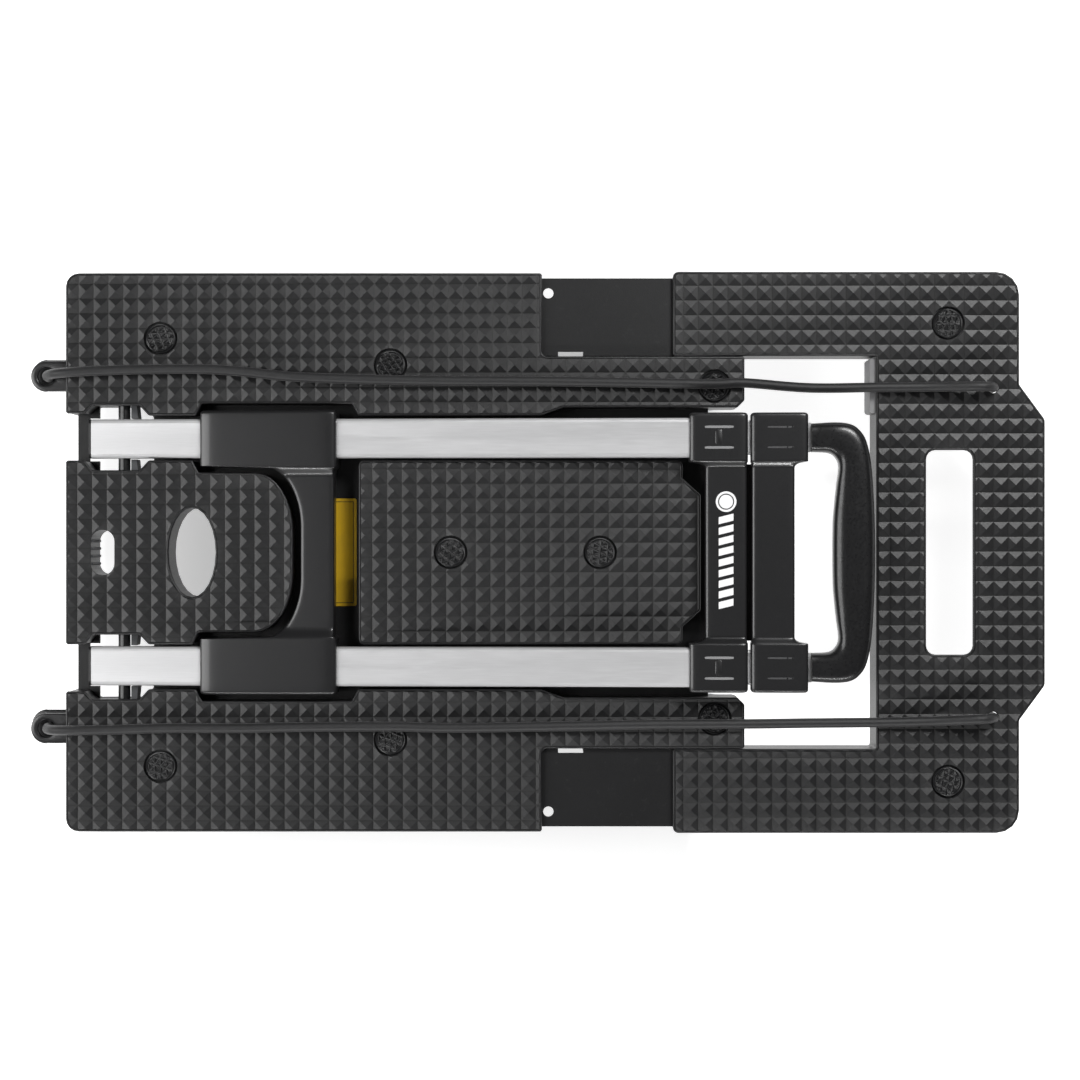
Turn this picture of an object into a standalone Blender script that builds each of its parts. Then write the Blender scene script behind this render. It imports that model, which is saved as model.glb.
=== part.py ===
"""Folding platform cart: moulded deck, sliding front extension, three-stage folding handle and six wheels.

+X runs towards the front extension, +Y is the cart's left side and +Z is up. The wheels stand on Z = 0.
The handle lies folded along the deck and turns about a line across the cart near its rear edge.
"""

import math

import bmesh
import bpy
from mathutils import Matrix, Vector

MM = 0.001

# ---------------------------------------------------------------- clearances
FIT = 0.3 * MM               # between pieces that touch
SLIDE_FIT = 0.5 * MM         # beside the extension's tongues
ARM_GAP = 1.0 * MM           # between the extension's arms and the deck strip
STOP_GAP = 5.0 * MM          # left between extension and deck when it is pushed in
OVERCUT = 1.0 * MM           # how far a cutter stands out of what it cuts
ARC_FINENESS = 1.2 * MM      # an arc gets one more piece for each such step of its radius

# ---------------------------------------------------------------- wheels and casters
WHEEL_D = 50.0 * MM
WHEEL_W = 18.0 * MM
AXLE_R = 3.0 * MM
FORK_LEG_T = 2.2 * MM
FORK_HEAD_GAP = 3.2 * MM     # from the tyre to the fork's head
FORK_HEAD_T = 3.0 * MM
FORK_HEAD_R = 15.0 * MM
RACE_T = 3.6 * MM
RACE_R = 13.5 * MM
CASTER_PLATE_T = 2.5 * MM
CASTER_PLATE_L = 40.0 * MM
CASTER_PLATE_W = 30.0 * MM
CASTER_TRAIL = 14.0 * MM

# ---------------------------------------------------------------- deck moulding
WALL = 2.4 * MM
TOP_T = 3.5 * MM
DECK_H = 34.0 * MM
DECK_W = 399.0 * MM
DECK_X0 = -350.0 * MM        # rear edge
STEP_X = -10.0 * MM          # where the wings narrow to strips
STRIP_X1 = 135.0 * MM        # front end of the strips
STRIP_OUT = 140.0 * MM       # outer edge of the strips, from the middle
FLOOR_DROP = 22.0 * MM       # channel floor below the deck's top
FLOOR_T = 2.5 * MM
FLOOR_X0 = -346.0 * MM
FLOOR_X1 = 111.0 * MM
REAR_CORNER_R = 9.0 * MM
PLUG_R = 11.0 * MM
PLUG_RECESS_R = 12.0 * MM
PLUG_DEPTH = 2.0 * MM
BOSS_R = 14.0 * MM
RIB_T = 2.2 * MM

# ---------------------------------------------------------------- front extension
STROKE = 90.0 * MM
EXTENSION_MARGIN = 1.0 * MM  # how far it stands out past the deck on each side
ARM_END_GAP = 4.5 * MM
BAR_L = 101.6 * MM           # cross bar, inner edge to its outer edge at the sides
NOSE_L = 120.0 * MM          # cross bar, inner edge to its foremost edge
NOSE_HALF = 95.0 * MM
SHOULDER_HALF = 120.0 * MM
FRONT_CORNER_R = 16.0 * MM
HAND_SLOT_X0 = 35.0 * MM     # from the cross bar's inner edge
HAND_SLOT_L = 34.3 * MM
HAND_SLOT_HALF = 73.6 * MM
HAND_SLOT_R = 7.0 * MM
TONGUE_DROP = 4.2 * MM       # tongue's top below the deck's top
TONGUE_REACH = 90.0 * MM     # how far a tongue reaches into its wing, pulled out
TONGUE_WALL = 2.5 * MM
TONGUE_TOP_T = 3.0 * MM
GUIDE_T = 2.8 * MM
GUIDE_LIFT = 0.2 * MM
RAIL_LIFT = 0.6 * MM         # tongue rail's foot above the deck's underside
LOCK_HOLE_R = 3.75 * MM
LOCK_PIN_R = 3.3 * MM
LOCK_INSET = 13.5 * MM       # lock holes, in from the deck's side
LOCK_TRAVEL = 3.5 * MM
LOCK_KNOB_R = 7.0 * MM
LOCK_KNOB_H = 5.0 * MM
BUFFER_T = 4.4 * MM
BUFFER_L = 39.0 * MM
BUFFER_H = 26.0 * MM

# ---------------------------------------------------------------- handle, along its own length from the pivot
PIVOT_X = -310.0 * MM
PIVOT_DROP = 9.0 * MM        # pivot below the deck's top
PIVOT_R = 4.3 * MM
HANDLE_TILT = math.radians(2.75)
TUBE_Y = 81.5 * MM
TUBE_W = 28.0 * MM
TUBE_H = 15.0 * MM
TUBE_WALL = 1.5 * MM
TUBE_R = 3.0 * MM
OUTER_TAIL = 22.5 * MM
OUTER_LENGTH = 442.6 * MM    # pivot to the tube's front end
CAP_T = 1.5 * MM
SLEEVE_X0 = 56.5 * MM
SLEEVE_L = 98.0 * MM
SLEEVE_SIDE = 5.9 * MM
SLEEVE_H = 24.0 * MM
LOWER_BAR_L = 26.0 * MM
LOWER_BAR_H = 15.0 * MM
FILLET_X = 27.6 * MM
FILLET_Y = 43.5 * MM
COLLAR_SIDE = 3.55 * MM
COLLAR_L = 41.6 * MM
COLLAR_H = 22.0 * MM
COLLAR_LIP = 4.0 * MM        # end of a collar that closes in on the smaller tube
MIDDLE_BAR_L = 29.4 * MM
MIDDLE_BAR_H = 15.0 * MM
STAGE_GAP = 1.8 * MM
UPPER_L = 40.7 * MM
UPPER_H = 20.0 * MM
UPPER_BAR_L = 30.4 * MM
GRIP_GAP = 2.5 * MM
GRIP_L = 44.9 * MM
GRIP_BAR_T = 20.0 * MM
GRIP_BULGE = 5.0 * MM
GRIP_H = 22.0 * MM
GRIP_SPIGOT_L = 18.0 * MM
MIDDLE_TAIL_X = 60.0 * MM    # inner end of the middle tubes
INNER_TAIL_X = 76.0 * MM     # inner end of the inner tubes
BUTTON_TRAVEL = 3.0 * MM
BUTTON_L = 13.0 * MM
BUTTON_W = 26.0 * MM
BUTTON_PROUD = 2.0 * MM
BUTTON_DEPTH = 8.0 * MM

# ---------------------------------------------------------------- channel clearances around the handle
CHANNEL_OUT = 2.8 * MM
CHANNEL_IN = 2.0 * MM
SLEEVE_OUT = 5.2 * MM
SLEEVE_IN = 4.6 * MM
NOTCH_OUT = 10.0 * MM
NOTCH_IN = 9.0 * MM
NOTCH_REAR = 27.0 * MM
NOTCH_FRONT = 19.0 * MM
NOTCH_SLOPE_REAR = 5.5 * MM
NOTCH_SLOPE_FRONT = 6.5 * MM
NOTCH_CORNER_R = 2.0 * MM
SLEEVE_SLOPE = 4.5 * MM
SIDE_GAP_IN = 6.7 * MM       # floor opening beside the tubes, in from the notch's rear end

# ---------------------------------------------------------------- ropes and their hooks
ROPE_D = 7.0 * MM
ROPE_HOLE_R = 4.0 * MM
ROPE_HOLE_X = 83.3 * MM      # from the cross bar's inner edge
ROPE_HOLE_Y = 118.0 * MM
HOOK_X = 16.0 * MM           # ring's centre, out from the deck's rear edge
HOOK_Y = 126.5 * MM
HOOK_R = 11.1 * MM
HOOK_HOLE_R = 6.0 * MM
HOOK_T = 4.0 * MM
HOOK_TAB_W = 19.0 * MM
HOOK_TAB_IN = 8.0 * MM
HOOK_DROP = 9.0 * MM         # ring's middle below the deck's top

# ---------------------------------------------------------------- label
LABEL_X0 = -167.0 * MM
LABEL_L = 23.0 * MM
LABEL_HALF = 39.0 * MM
LABEL_T = 0.3 * MM

# ---------------------------------------------------------------- worked out from the sizes above
DECK_Z0 = (WHEEL_D + FORK_HEAD_GAP + FORK_HEAD_T + FIT + RACE_T + CASTER_PLATE_T + FIT)
DECK_Z1 = DECK_Z0 + DECK_H
FLOOR_Z = DECK_Z1 - FLOOR_DROP
SIDE_Y = DECK_W / 2
TUBE_OUT = TUBE_Y + TUBE_W / 2
TUBE_IN = TUBE_Y - TUBE_W / 2
WING_IN = TUBE_OUT + CHANNEL_OUT
STRIP_IN = TUBE_OUT + CHANNEL_OUT + 5.7 * MM
ISLAND_Y = TUBE_IN - CHANNEL_IN
NARROW_ISLAND_Y = TUBE_IN - SLEEVE_SIDE - SLEEVE_IN
SLEEVE_RECESS_Y = TUBE_OUT + SLEEVE_SIDE + SLEEVE_OUT
NOTCH_Y0 = TUBE_IN - NOTCH_IN
NOTCH_Y1 = TUBE_OUT + NOTCH_OUT
NOTCH_X0 = PIVOT_X - NOTCH_REAR
NOTCH_X1 = PIVOT_X + NOTCH_FRONT
SLEEVE_DECK_X0 = PIVOT_X + SLEEVE_X0 - 4.0 * MM
SLEEVE_DECK_X1 = PIVOT_X + SLEEVE_X0 + SLEEVE_L + 14.5 * MM
ISLAND_A_X1 = PIVOT_X + SLEEVE_X0 + SLEEVE_L - LOWER_BAR_L - 6.5 * MM
ISLAND_B_X0 = PIVOT_X + SLEEVE_X0 + SLEEVE_L + 15.0 * MM
MIDDLE_X0 = OUTER_LENGTH - COLLAR_L + COLLAR_LIP + FIT
MIDDLE_X1 = MIDDLE_X0 + COLLAR_L
ISLAND_B_X1 = PIVOT_X + MIDDLE_X1 - MIDDLE_BAR_L - 4.0 * MM
ARM_X0 = STEP_X + STROKE + ARM_END_GAP
BAR_X0 = STRIP_X1 + STROKE + STOP_GAP
BAR_X1 = BAR_X0 + BAR_L
NOSE_X1 = BAR_X0 + NOSE_L
ARM_IN = STRIP_OUT + ARM_GAP
ARM_OUT = SIDE_Y + EXTENSION_MARGIN
TONGUE_OUT = SIDE_Y - WALL - SLIDE_FIT
TONGUE_X0 = STEP_X - TONGUE_REACH
TONGUE_Z1 = DECK_Z1 - TONGUE_DROP
TONGUE_Z0 = DECK_Z0 + GUIDE_LIFT + GUIDE_T + SLIDE_FIT
LOCK_Y = SIDE_Y - LOCK_INSET
LOCK_X = STEP_X + 5.0 * MM - STROKE
UPPER_X0 = MIDDLE_X1 + STAGE_GAP
UPPER_X1 = UPPER_X0 + UPPER_L
GRIP_X0 = UPPER_X1 + GRIP_GAP
GRIP_X1 = GRIP_X0 + GRIP_L
OUTER_SECTION = (TUBE_W, TUBE_H, TUBE_R)


def nested(section):
    """The section of the tube that slides inside another."""
    width, height, radius = section
    shrink = TUBE_WALL + FIT
    return (width - 2 * shrink, height - 2 * shrink, max(radius - shrink, 0.5 * MM))


MIDDLE_SECTION = nested(OUTER_SECTION)
INNER_SECTION = nested(MIDDLE_SECTION)

REAR_CASTER = (-282.5 * MM, 153.0 * MM)
DECK_CASTER = (114.0 * MM, 119.0 * MM)
NOSE_CASTER = (BAR_X0 + 51.0 * MM, 164.0 * MM)
DECK_PLUGS = [REAR_CASTER, DECK_CASTER, (-118.0 * MM, 134.0 * MM)]
ISLAND_PLUGS = [(-75.0 * MM, 0.0), (32.0 * MM, 0.0)]
SIDES = (("left", 1), ("right", -1))


# ---------------------------------------------------------------- scene and materials
def clear_scene():
    for thing in list(bpy.data.objects):
        bpy.data.objects.remove(thing)


def make_collection(name):
    collection = bpy.data.collections.new(name)
    bpy.context.scene.collection.children.link(collection)
    return collection


def make_material(name, colour, roughness, metallic=0.0):
    material = bpy.data.materials.new(name)
    material.use_nodes = True
    shader = material.node_tree.nodes["Principled BSDF"]
    shader.inputs["Base Color"].default_value = (*colour, 1.0)
    shader.inputs["Roughness"].default_value = roughness
    shader.inputs["Metallic"].default_value = metallic
    return material


clear_scene()
CART = make_collection("folding_platform_cart")
CUTTERS = make_collection("cutters")
BLACK_PLASTIC = make_material("black_polypropylene", (0.028, 0.028, 0.029), 0.5)
GRIP_PLASTIC = make_material("glossy_black_nylon", (0.012, 0.012, 0.012), 0.3)
ALUMINIUM = make_material("satin_aluminium", (0.78, 0.78, 0.79), 0.35, 1.0)
STEEL = make_material("zinc_plated_steel", (0.55, 0.55, 0.55), 0.35, 1.0)
GREY_RUBBER = make_material("grey_rubber", (0.18, 0.18, 0.18), 0.7)
ROPE_CLOTH = make_material("black_braid", (0.02, 0.02, 0.02), 0.85)
YELLOW_LABEL = make_material("yellow_label", (0.72, 0.45, 0.02), 0.45)


# ---------------------------------------------------------------- outlines
def rounded(corners, steps=4):
    """Turns (x, y, radius) corners into points, with an arc of the given radius at each corner."""
    points = []
    count = len(corners)
    for i, (x, y, radius) in enumerate(corners):
        here = Vector((x, y))
        before = Vector(corners[i - 1][:2]) - here
        after = Vector(corners[(i + 1) % count][:2]) - here
        if radius <= 0:
            points.append((x, y))
            continue
        half = before.angle(after) / 2
        reach = radius / math.tan(half)
        reach = min(reach, 0.49 * before.length, 0.49 * after.length)
        radius = reach * math.tan(half)
        centre = here + (before.normalized() + after.normalized()).normalized() * (radius / math.sin(half))
        start = here + before.normalized() * reach - centre
        end = here + after.normalized() * reach - centre
        sweep = start.angle_signed(end)
        pieces = min(steps, math.ceil(radius / ARC_FINENESS))
        for k in range(pieces + 1):
            turn = Matrix.Rotation(-sweep * k / pieces, 2)
            points.append(tuple(centre + turn @ start))
    return points


def inset(corners, distance):
    """Moves every edge of a closed outline, drawn anticlockwise, inwards; its corners keep a fitting radius."""
    moved = []
    count = len(corners)
    for i, (x, y, radius) in enumerate(corners):
        here = Vector((x, y))
        back = (here - Vector(corners[i - 1][:2])).normalized()
        ahead = (Vector(corners[(i + 1) % count][:2]) - here).normalized()
        normal_back = Vector((-back.y, back.x))
        normal_ahead = Vector((-ahead.y, ahead.x))
        middle = (normal_back + normal_ahead).normalized()
        place = here + middle * (distance / middle.dot(normal_back))
        turns_left = back.cross(ahead) > 0
        moved.append((place.x, place.y, max(radius - distance, 0.0) if turns_left else radius))
    return moved


def mirrored(half):
    """Closes an outline that is drawn on the +Y side only, by its mirror image on the -Y side."""
    return half + [(p[0], -p[1], *p[2:]) for p in reversed(half)]


def ellipse(x, y, rx, ry, steps=24):
    turns = (2 * math.pi * k / steps for k in range(steps))
    return [(x + rx * math.cos(t), y + ry * math.sin(t)) for t in turns]


def ellipse_arc(x, y, rx, ry, start, end, steps=8):
    """Points of an ellipse's arc from one angle to another, in degrees."""
    turns = (math.radians(start + (end - start) * k / steps) for k in range(steps + 1))
    return [(x + rx * math.cos(t), y + ry * math.sin(t)) for t in turns]


def box_outline(x0, x1, y0, y1, radius=0.0, steps=4):
    return rounded([(x0, y0, radius), (x1, y0, radius), (x1, y1, radius), (x0, y1, radius)], steps)


def side(points, sign):
    """The same outline on the other side of the cart, still drawn anticlockwise."""
    return list(points) if sign > 0 else [(p[0], -p[1]) for p in reversed(points)]


# ---------------------------------------------------------------- solids
def add_object(name, mesh, material, collection=CART):
    piece = bpy.data.objects.new(name, mesh)
    if material is not None:
        mesh.materials.clear()
        mesh.materials.append(material)
    collection.objects.link(piece)
    return piece


def remove_object(piece):
    bpy.data.objects.remove(piece)
    bpy.context.view_layer.update()


def evaluated_mesh(piece):
    bpy.context.view_layer.update()
    return bpy.data.meshes.new_from_object(piece.evaluated_get(bpy.context.evaluated_depsgraph_get()))


def weld(mesh, distance=0.00001):
    cage = bmesh.new()
    cage.from_mesh(mesh)
    bmesh.ops.remove_doubles(cage, verts=cage.verts, dist=distance)
    bmesh.ops.recalc_face_normals(cage, faces=cage.faces)
    if cage.calc_volume(signed=True) < 0:
        bmesh.ops.reverse_faces(cage, faces=cage.faces)
    cage.to_mesh(mesh)
    cage.free()


def plate(name, loops, z0, z1, material=None, turn=None):
    """A flat solid between two heights, from one outer outline and any outlines of holes in it."""
    curve = bpy.data.curves.new(name, "CURVE")
    curve.dimensions = "2D"
    curve.fill_mode = "BOTH"
    curve.extrude = (z1 - z0) / 2
    for loop in loops:
        spline = curve.splines.new("POLY")
        spline.points.add(len(loop) - 1)
        for point, (x, y) in zip(spline.points, loop):
            point.co = (x, y, 0, 1)
        spline.use_cyclic_u = True
    outline = bpy.data.objects.new(name, curve)
    CUTTERS.objects.link(outline)
    mesh = evaluated_mesh(outline)
    remove_object(outline)
    weld(mesh)
    mesh.transform(Matrix.Translation((0, 0, (z0 + z1) / 2)))
    if turn is not None:
        mesh.transform(turn)
    return add_object(name, mesh, material)


def cylinder(name, radius, z0, z1, centre=(0, 0), material=None, segments=24, turn=None):
    """A round bar between two heights."""
    cage = bmesh.new()
    bmesh.ops.create_cone(cage, cap_ends=True, segments=segments, radius1=radius, radius2=radius, depth=z1 - z0)
    mesh = bpy.data.meshes.new(name)
    cage.to_mesh(mesh)
    cage.free()
    mesh.transform(Matrix.Translation((centre[0], centre[1], (z0 + z1) / 2)))
    if turn is not None:
        mesh.transform(turn)
    return add_object(name, mesh, material)


def box(name, x0, x1, y0, y1, z0, z1, material=None):
    cage = bmesh.new()
    bmesh.ops.create_cube(cage, size=1.0)
    bmesh.ops.scale(cage, vec=(x1 - x0, y1 - y0, z1 - z0), verts=cage.verts)
    bmesh.ops.translate(cage, vec=((x0 + x1) / 2, (y0 + y1) / 2, (z0 + z1) / 2), verts=cage.verts)
    mesh = bpy.data.meshes.new(name)
    cage.to_mesh(mesh)
    cage.free()
    return add_object(name, mesh, material)


def combine(body, tools, operation):
    """Joins tools to a body, or cuts them from it, one after another."""
    for tool in tools:
        step = body.modifiers.new(operation, "BOOLEAN")
        step.operation = operation
        step.solver = "EXACT"
        step.object = tool
        mesh = evaluated_mesh(body)
        body.modifiers.clear()
        body.data = mesh
        remove_object(tool)
    return body


def soften(body, width, segments=2, angle=40):
    """Rounds a solid's sharp edges."""
    step = body.modifiers.new("soft_edges", "BEVEL")
    step.width = width
    step.segments = segments
    step.limit_method = "ANGLE"
    step.angle_limit = math.radians(angle)
    mesh = evaluated_mesh(body)
    body.modifiers.clear()
    body.data = mesh
    return body


def along_x(name, start, end, centre_y, section, bore=None):
    """A rounded bar or tube along X; a section is (width, height, corner radius)."""
    loops = []
    for width, height, radius in [section] + ([bore] if bore else []):
        loops.append(box_outline(-width / 2, width / 2, -height / 2, height / 2, radius, 3))
    lying = Matrix(((0, 0, 1, 0), (1, 0, 0, 0), (0, 1, 0, 0), (0, 0, 0, 1)))
    turn = Matrix.Translation((0, centre_y, 0)) @ lying
    return plate(name, loops, start, end, turn=turn)


def grown(section, gap):
    """A tube section with a gap all round it."""
    width, height, radius = section
    return (width + 2 * gap, height + 2 * gap, max(radius + gap, 0.3 * MM))


def shade(piece, angle=35):
    piece.data.shade_smooth()
    piece.data.set_sharp_from_angle(angle=math.radians(angle))


# ---------------------------------------------------------------- main deck
def wing_corners():
    return [
        (DECK_X0, WING_IN + 1.5 * MM, 1 * MM),
        (NOTCH_X0, WING_IN + 1.5 * MM, NOTCH_CORNER_R),
        (NOTCH_X0 + NOTCH_SLOPE_REAR, NOTCH_Y1, NOTCH_CORNER_R),
        (NOTCH_X1 - NOTCH_SLOPE_FRONT, NOTCH_Y1, NOTCH_CORNER_R),
        (NOTCH_X1, WING_IN, NOTCH_CORNER_R),
        (SLEEVE_DECK_X0, WING_IN, 1.5 * MM),
        (SLEEVE_DECK_X0 + SLEEVE_SLOPE, SLEEVE_RECESS_Y, 1.5 * MM),
        (SLEEVE_DECK_X1 - SLEEVE_SLOPE, SLEEVE_RECESS_Y, 1.5 * MM),
        (SLEEVE_DECK_X1, WING_IN, 1.5 * MM),
        (STEP_X, WING_IN, 6 * MM),
        (STEP_X + 16 * MM, STRIP_IN, 6 * MM),
        (STRIP_X1 - 5 * MM, STRIP_IN, 1 * MM),
        (STRIP_X1, STRIP_IN + 5 * MM, 1 * MM),
        (STRIP_X1, STRIP_OUT, 1 * MM),
        (STEP_X, STRIP_OUT, 4 * MM),
        (STEP_X, SIDE_Y, 1 * MM),
        (DECK_X0, SIDE_Y, REAR_CORNER_R),
    ]


def rear_island_corners():
    arc = ellipse_arc(ISLAND_A_X1 - 27 * MM, 14 * MM, 27 * MM, NARROW_ISLAND_Y - 14 * MM, 0, 90)
    half = [(x, y, 0.0) for x, y in arc] + [
        (PIVOT_X + SLEEVE_X0 - 2 * MM, NARROW_ISLAND_Y, 1.5 * MM),
        (PIVOT_X + SLEEVE_X0 - 2 * MM - SLEEVE_SLOPE, ISLAND_Y, 1.5 * MM),
        (NOTCH_X1, ISLAND_Y, NOTCH_CORNER_R),
        (NOTCH_X1 - NOTCH_SLOPE_FRONT, NOTCH_Y0, NOTCH_CORNER_R),
        (NOTCH_X0 + NOTCH_SLOPE_REAR, NOTCH_Y0, NOTCH_CORNER_R),
        (NOTCH_X0, ISLAND_Y, NOTCH_CORNER_R),
        (DECK_X0, ISLAND_Y, 1 * MM),
    ]
    return mirrored(half)


def front_island_corners():
    return mirrored([
        (ISLAND_B_X1, 41 * MM, 2 * MM),
        (ISLAND_B_X1 - 12.9 * MM, 53 * MM, 2 * MM),
        (ISLAND_B_X1 - 12.9 * MM, ISLAND_Y, 3.5 * MM),
        (ISLAND_B_X0, ISLAND_Y, 3.5 * MM),
    ])


GRIP_HOLE = ("ellipse", -260.0 * MM, 17.2 * MM, 32.3 * MM)
REAR_SLOT = ("slot", -324.0 * MM, 8.4 * MM, 16.2 * MM)


def opening_outline(opening, grow=0.0):
    kind, x, rx, ry = opening
    if kind == "ellipse":
        return ellipse(x, 0, rx + grow, ry + grow)
    return box_outline(x - rx - grow, x + rx + grow, -ry - grow, ry + grow, rx + grow - 0.1 * MM, 6)


def about_pivot():
    """Lays an upright cylinder along the pivot's line, across the cart."""
    return Matrix.Translation((PIVOT_X, 0, DECK_Z1 - PIVOT_DROP)) @ Matrix.Rotation(math.radians(-90), 4, "X")


def build_main_deck():
    deck = plate("main_deck", [box_outline(FLOOR_X0, FLOOR_X1, -SLEEVE_RECESS_Y - WALL / 2,
                                           SLEEVE_RECESS_Y + WALL / 2)], FLOOR_Z - FLOOR_T, FLOOR_Z)
    wings = [plate("wing", [side(rounded(wing_corners()), sign)], DECK_Z0, DECK_Z1) for _, sign in SIDES]
    rear = plate("rear_island", [rounded(rear_island_corners())], DECK_Z0, DECK_Z1)
    front = plate("front_island", [rounded(front_island_corners())], DECK_Z0, DECK_Z1)
    combine(deck, wings + [rear, front], "UNION")

    under = DECK_Z0 - OVERCUT
    roof = DECK_Z1 - TOP_T
    wing_pocket = rounded(inset(wing_corners(), WALL))
    pockets = [plate("pocket", [side(wing_pocket, sign)], under, roof) for _, sign in SIDES]
    pockets.append(plate("pocket", [rounded(inset(rear_island_corners(), WALL)),
                                    opening_outline(GRIP_HOLE, WALL), opening_outline(REAR_SLOT, WALL)],
                         under, roof))
    pockets.append(plate("pocket", [rounded(inset(front_island_corners(), WALL))], under, roof))
    combine(deck, pockets, "DIFFERENCE")

    add = []
    for _, sign in SIDES:
        rail_y = sorted((sign * (STRIP_OUT - 2.0 * MM), sign * (STRIP_OUT + 0.4 * MM)))
        add.append(box("rail", TONGUE_X0 - STROKE - 6 * MM, STEP_X - 2 * MM, *rail_y, DECK_Z0 + RAIL_LIFT,
                       roof + OVERCUT))
        for x, inner in ((-322 * MM, NOTCH_Y1), (-240 * MM, SLEEVE_RECESS_Y),
                         (TONGUE_X0 - STROKE - 6 * MM, SLEEVE_RECESS_Y)):
            across = sorted((sign * (inner + WALL / 2), sign * (SIDE_Y - WALL / 2)))
            add.append(box("rib", x - RIB_T / 2, x + RIB_T / 2, *across, DECK_Z0 + 4 * MM, roof + OVERCUT))
        for x, inner in ((-155 * MM, SLEEVE_RECESS_Y), (-60 * MM, WING_IN), (40 * MM, STRIP_IN)):
            across = sorted((sign * (inner + WALL / 2), sign * (STRIP_OUT - 1 * MM)))
            add.append(box("rib", x - RIB_T / 2, x + RIB_T / 2, *across, DECK_Z0 + 4 * MM, roof + OVERCUT))
        for x, y in (REAR_CASTER, DECK_CASTER):
            add.append(cylinder("boss", BOSS_R, DECK_Z0, roof + OVERCUT, (x, sign * y), segments=16))
    for x in (-120 * MM, 75 * MM):
        add.append(box("rib", x - RIB_T / 2, x + RIB_T / 2, -ISLAND_Y + WALL / 2, ISLAND_Y - WALL / 2,
                       DECK_Z0 + 4 * MM, roof + OVERCUT))
    for x, y in ISLAND_PLUGS:
        add.append(cylinder("boss", BOSS_R, DECK_Z0 + 6 * MM, roof + OVERCUT, (x, y), segments=16))
    for x0, x1 in ((PIVOT_X + 52 * MM, PIVOT_X + 66 * MM), (PIVOT_X + 140 * MM, PIVOT_X + 152 * MM)):
        for _, sign in SIDES:
            rise = math.tan(HANDLE_TILT) * (x0 - PIVOT_X)
            rest_z = DECK_Z1 - PIVOT_DROP + rise - SLEEVE_H / 2 - 1.2 * MM
            across = sorted((sign * (TUBE_Y - 9 * MM), sign * (TUBE_Y + 9 * MM)))
            add.append(box("rest", x0, x1, *across, FLOOR_Z - 1 * MM, rest_z))
    combine(deck, add, "UNION")

    over = DECK_Z1 + OVERCUT
    cut = [plate("hole", [opening_outline(opening)], under, over) for opening in (GRIP_HOLE, REAR_SLOT)]
    for _, sign in SIDES:
        mouth = sorted((sign * (ARM_IN - FIT), sign * (SIDE_Y - WALL - 0.2 * MM)))
        cut.append(box("mouth", STEP_X - WALL - OVERCUT, STEP_X + 5 * MM, *mouth, under, roof - 0.2 * MM))
        gap = sorted((sign * (TUBE_IN - 1.5 * MM), sign * (TUBE_OUT + 1.5 * MM)))
        cut.append(box("tail_gap", NOTCH_X0 - 0.5 * MM, NOTCH_X1, *gap, under, FLOOR_Z + OVERCUT))
        gap_x1 = NOTCH_X1 - NOTCH_SLOPE_FRONT - FIT
        beside = [
            (NOTCH_X0 + SIDE_GAP_IN, NOTCH_Y0 + FIT),
            (gap_x1, NOTCH_Y0 + FIT),
            (NOTCH_X1 - FIT, ISLAND_Y + FIT),
            (NOTCH_X1 - FIT, WING_IN - FIT),
            (gap_x1, NOTCH_Y1 - FIT),
            (NOTCH_X0 + SIDE_GAP_IN, NOTCH_Y1 - FIT),
        ]
        cut.append(plate("side_gap", [side(beside, sign)], under, FLOOR_Z + OVERCUT))
        pin_span = sorted((sign * (NOTCH_Y0 - WALL - OVERCUT), sign * (NOTCH_Y1 + WALL + OVERCUT)))
        cut.append(cylinder("pin_hole", PIVOT_R + FIT, *pin_span, segments=24, turn=about_pivot()))
        tab = sorted((sign * (HOOK_Y - HOOK_TAB_W / 2 - FIT), sign * (HOOK_Y + HOOK_TAB_W / 2 + FIT)))
        hook_z = DECK_Z1 - HOOK_DROP
        cut.append(box("hook_slot", DECK_X0 - OVERCUT, DECK_X0 + WALL + OVERCUT, *tab,
                       hook_z - HOOK_T / 2 - FIT, hook_z + HOOK_T / 2 + FIT))
        for x, y in DECK_PLUGS:
            cut.append(cylinder("recess", PLUG_RECESS_R, DECK_Z1 - PLUG_DEPTH, over, (x, sign * y)))
    for x, y in ISLAND_PLUGS:
        cut.append(cylinder("recess", PLUG_RECESS_R, DECK_Z1 - PLUG_DEPTH, over, (x, y)))
    combine(deck, cut, "DIFFERENCE")
    add_material(deck, BLACK_PLASTIC)
    return deck


def add_material(piece, material):
    piece.data.materials.clear()
    piece.data.materials.append(material)
    shade(piece)


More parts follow.
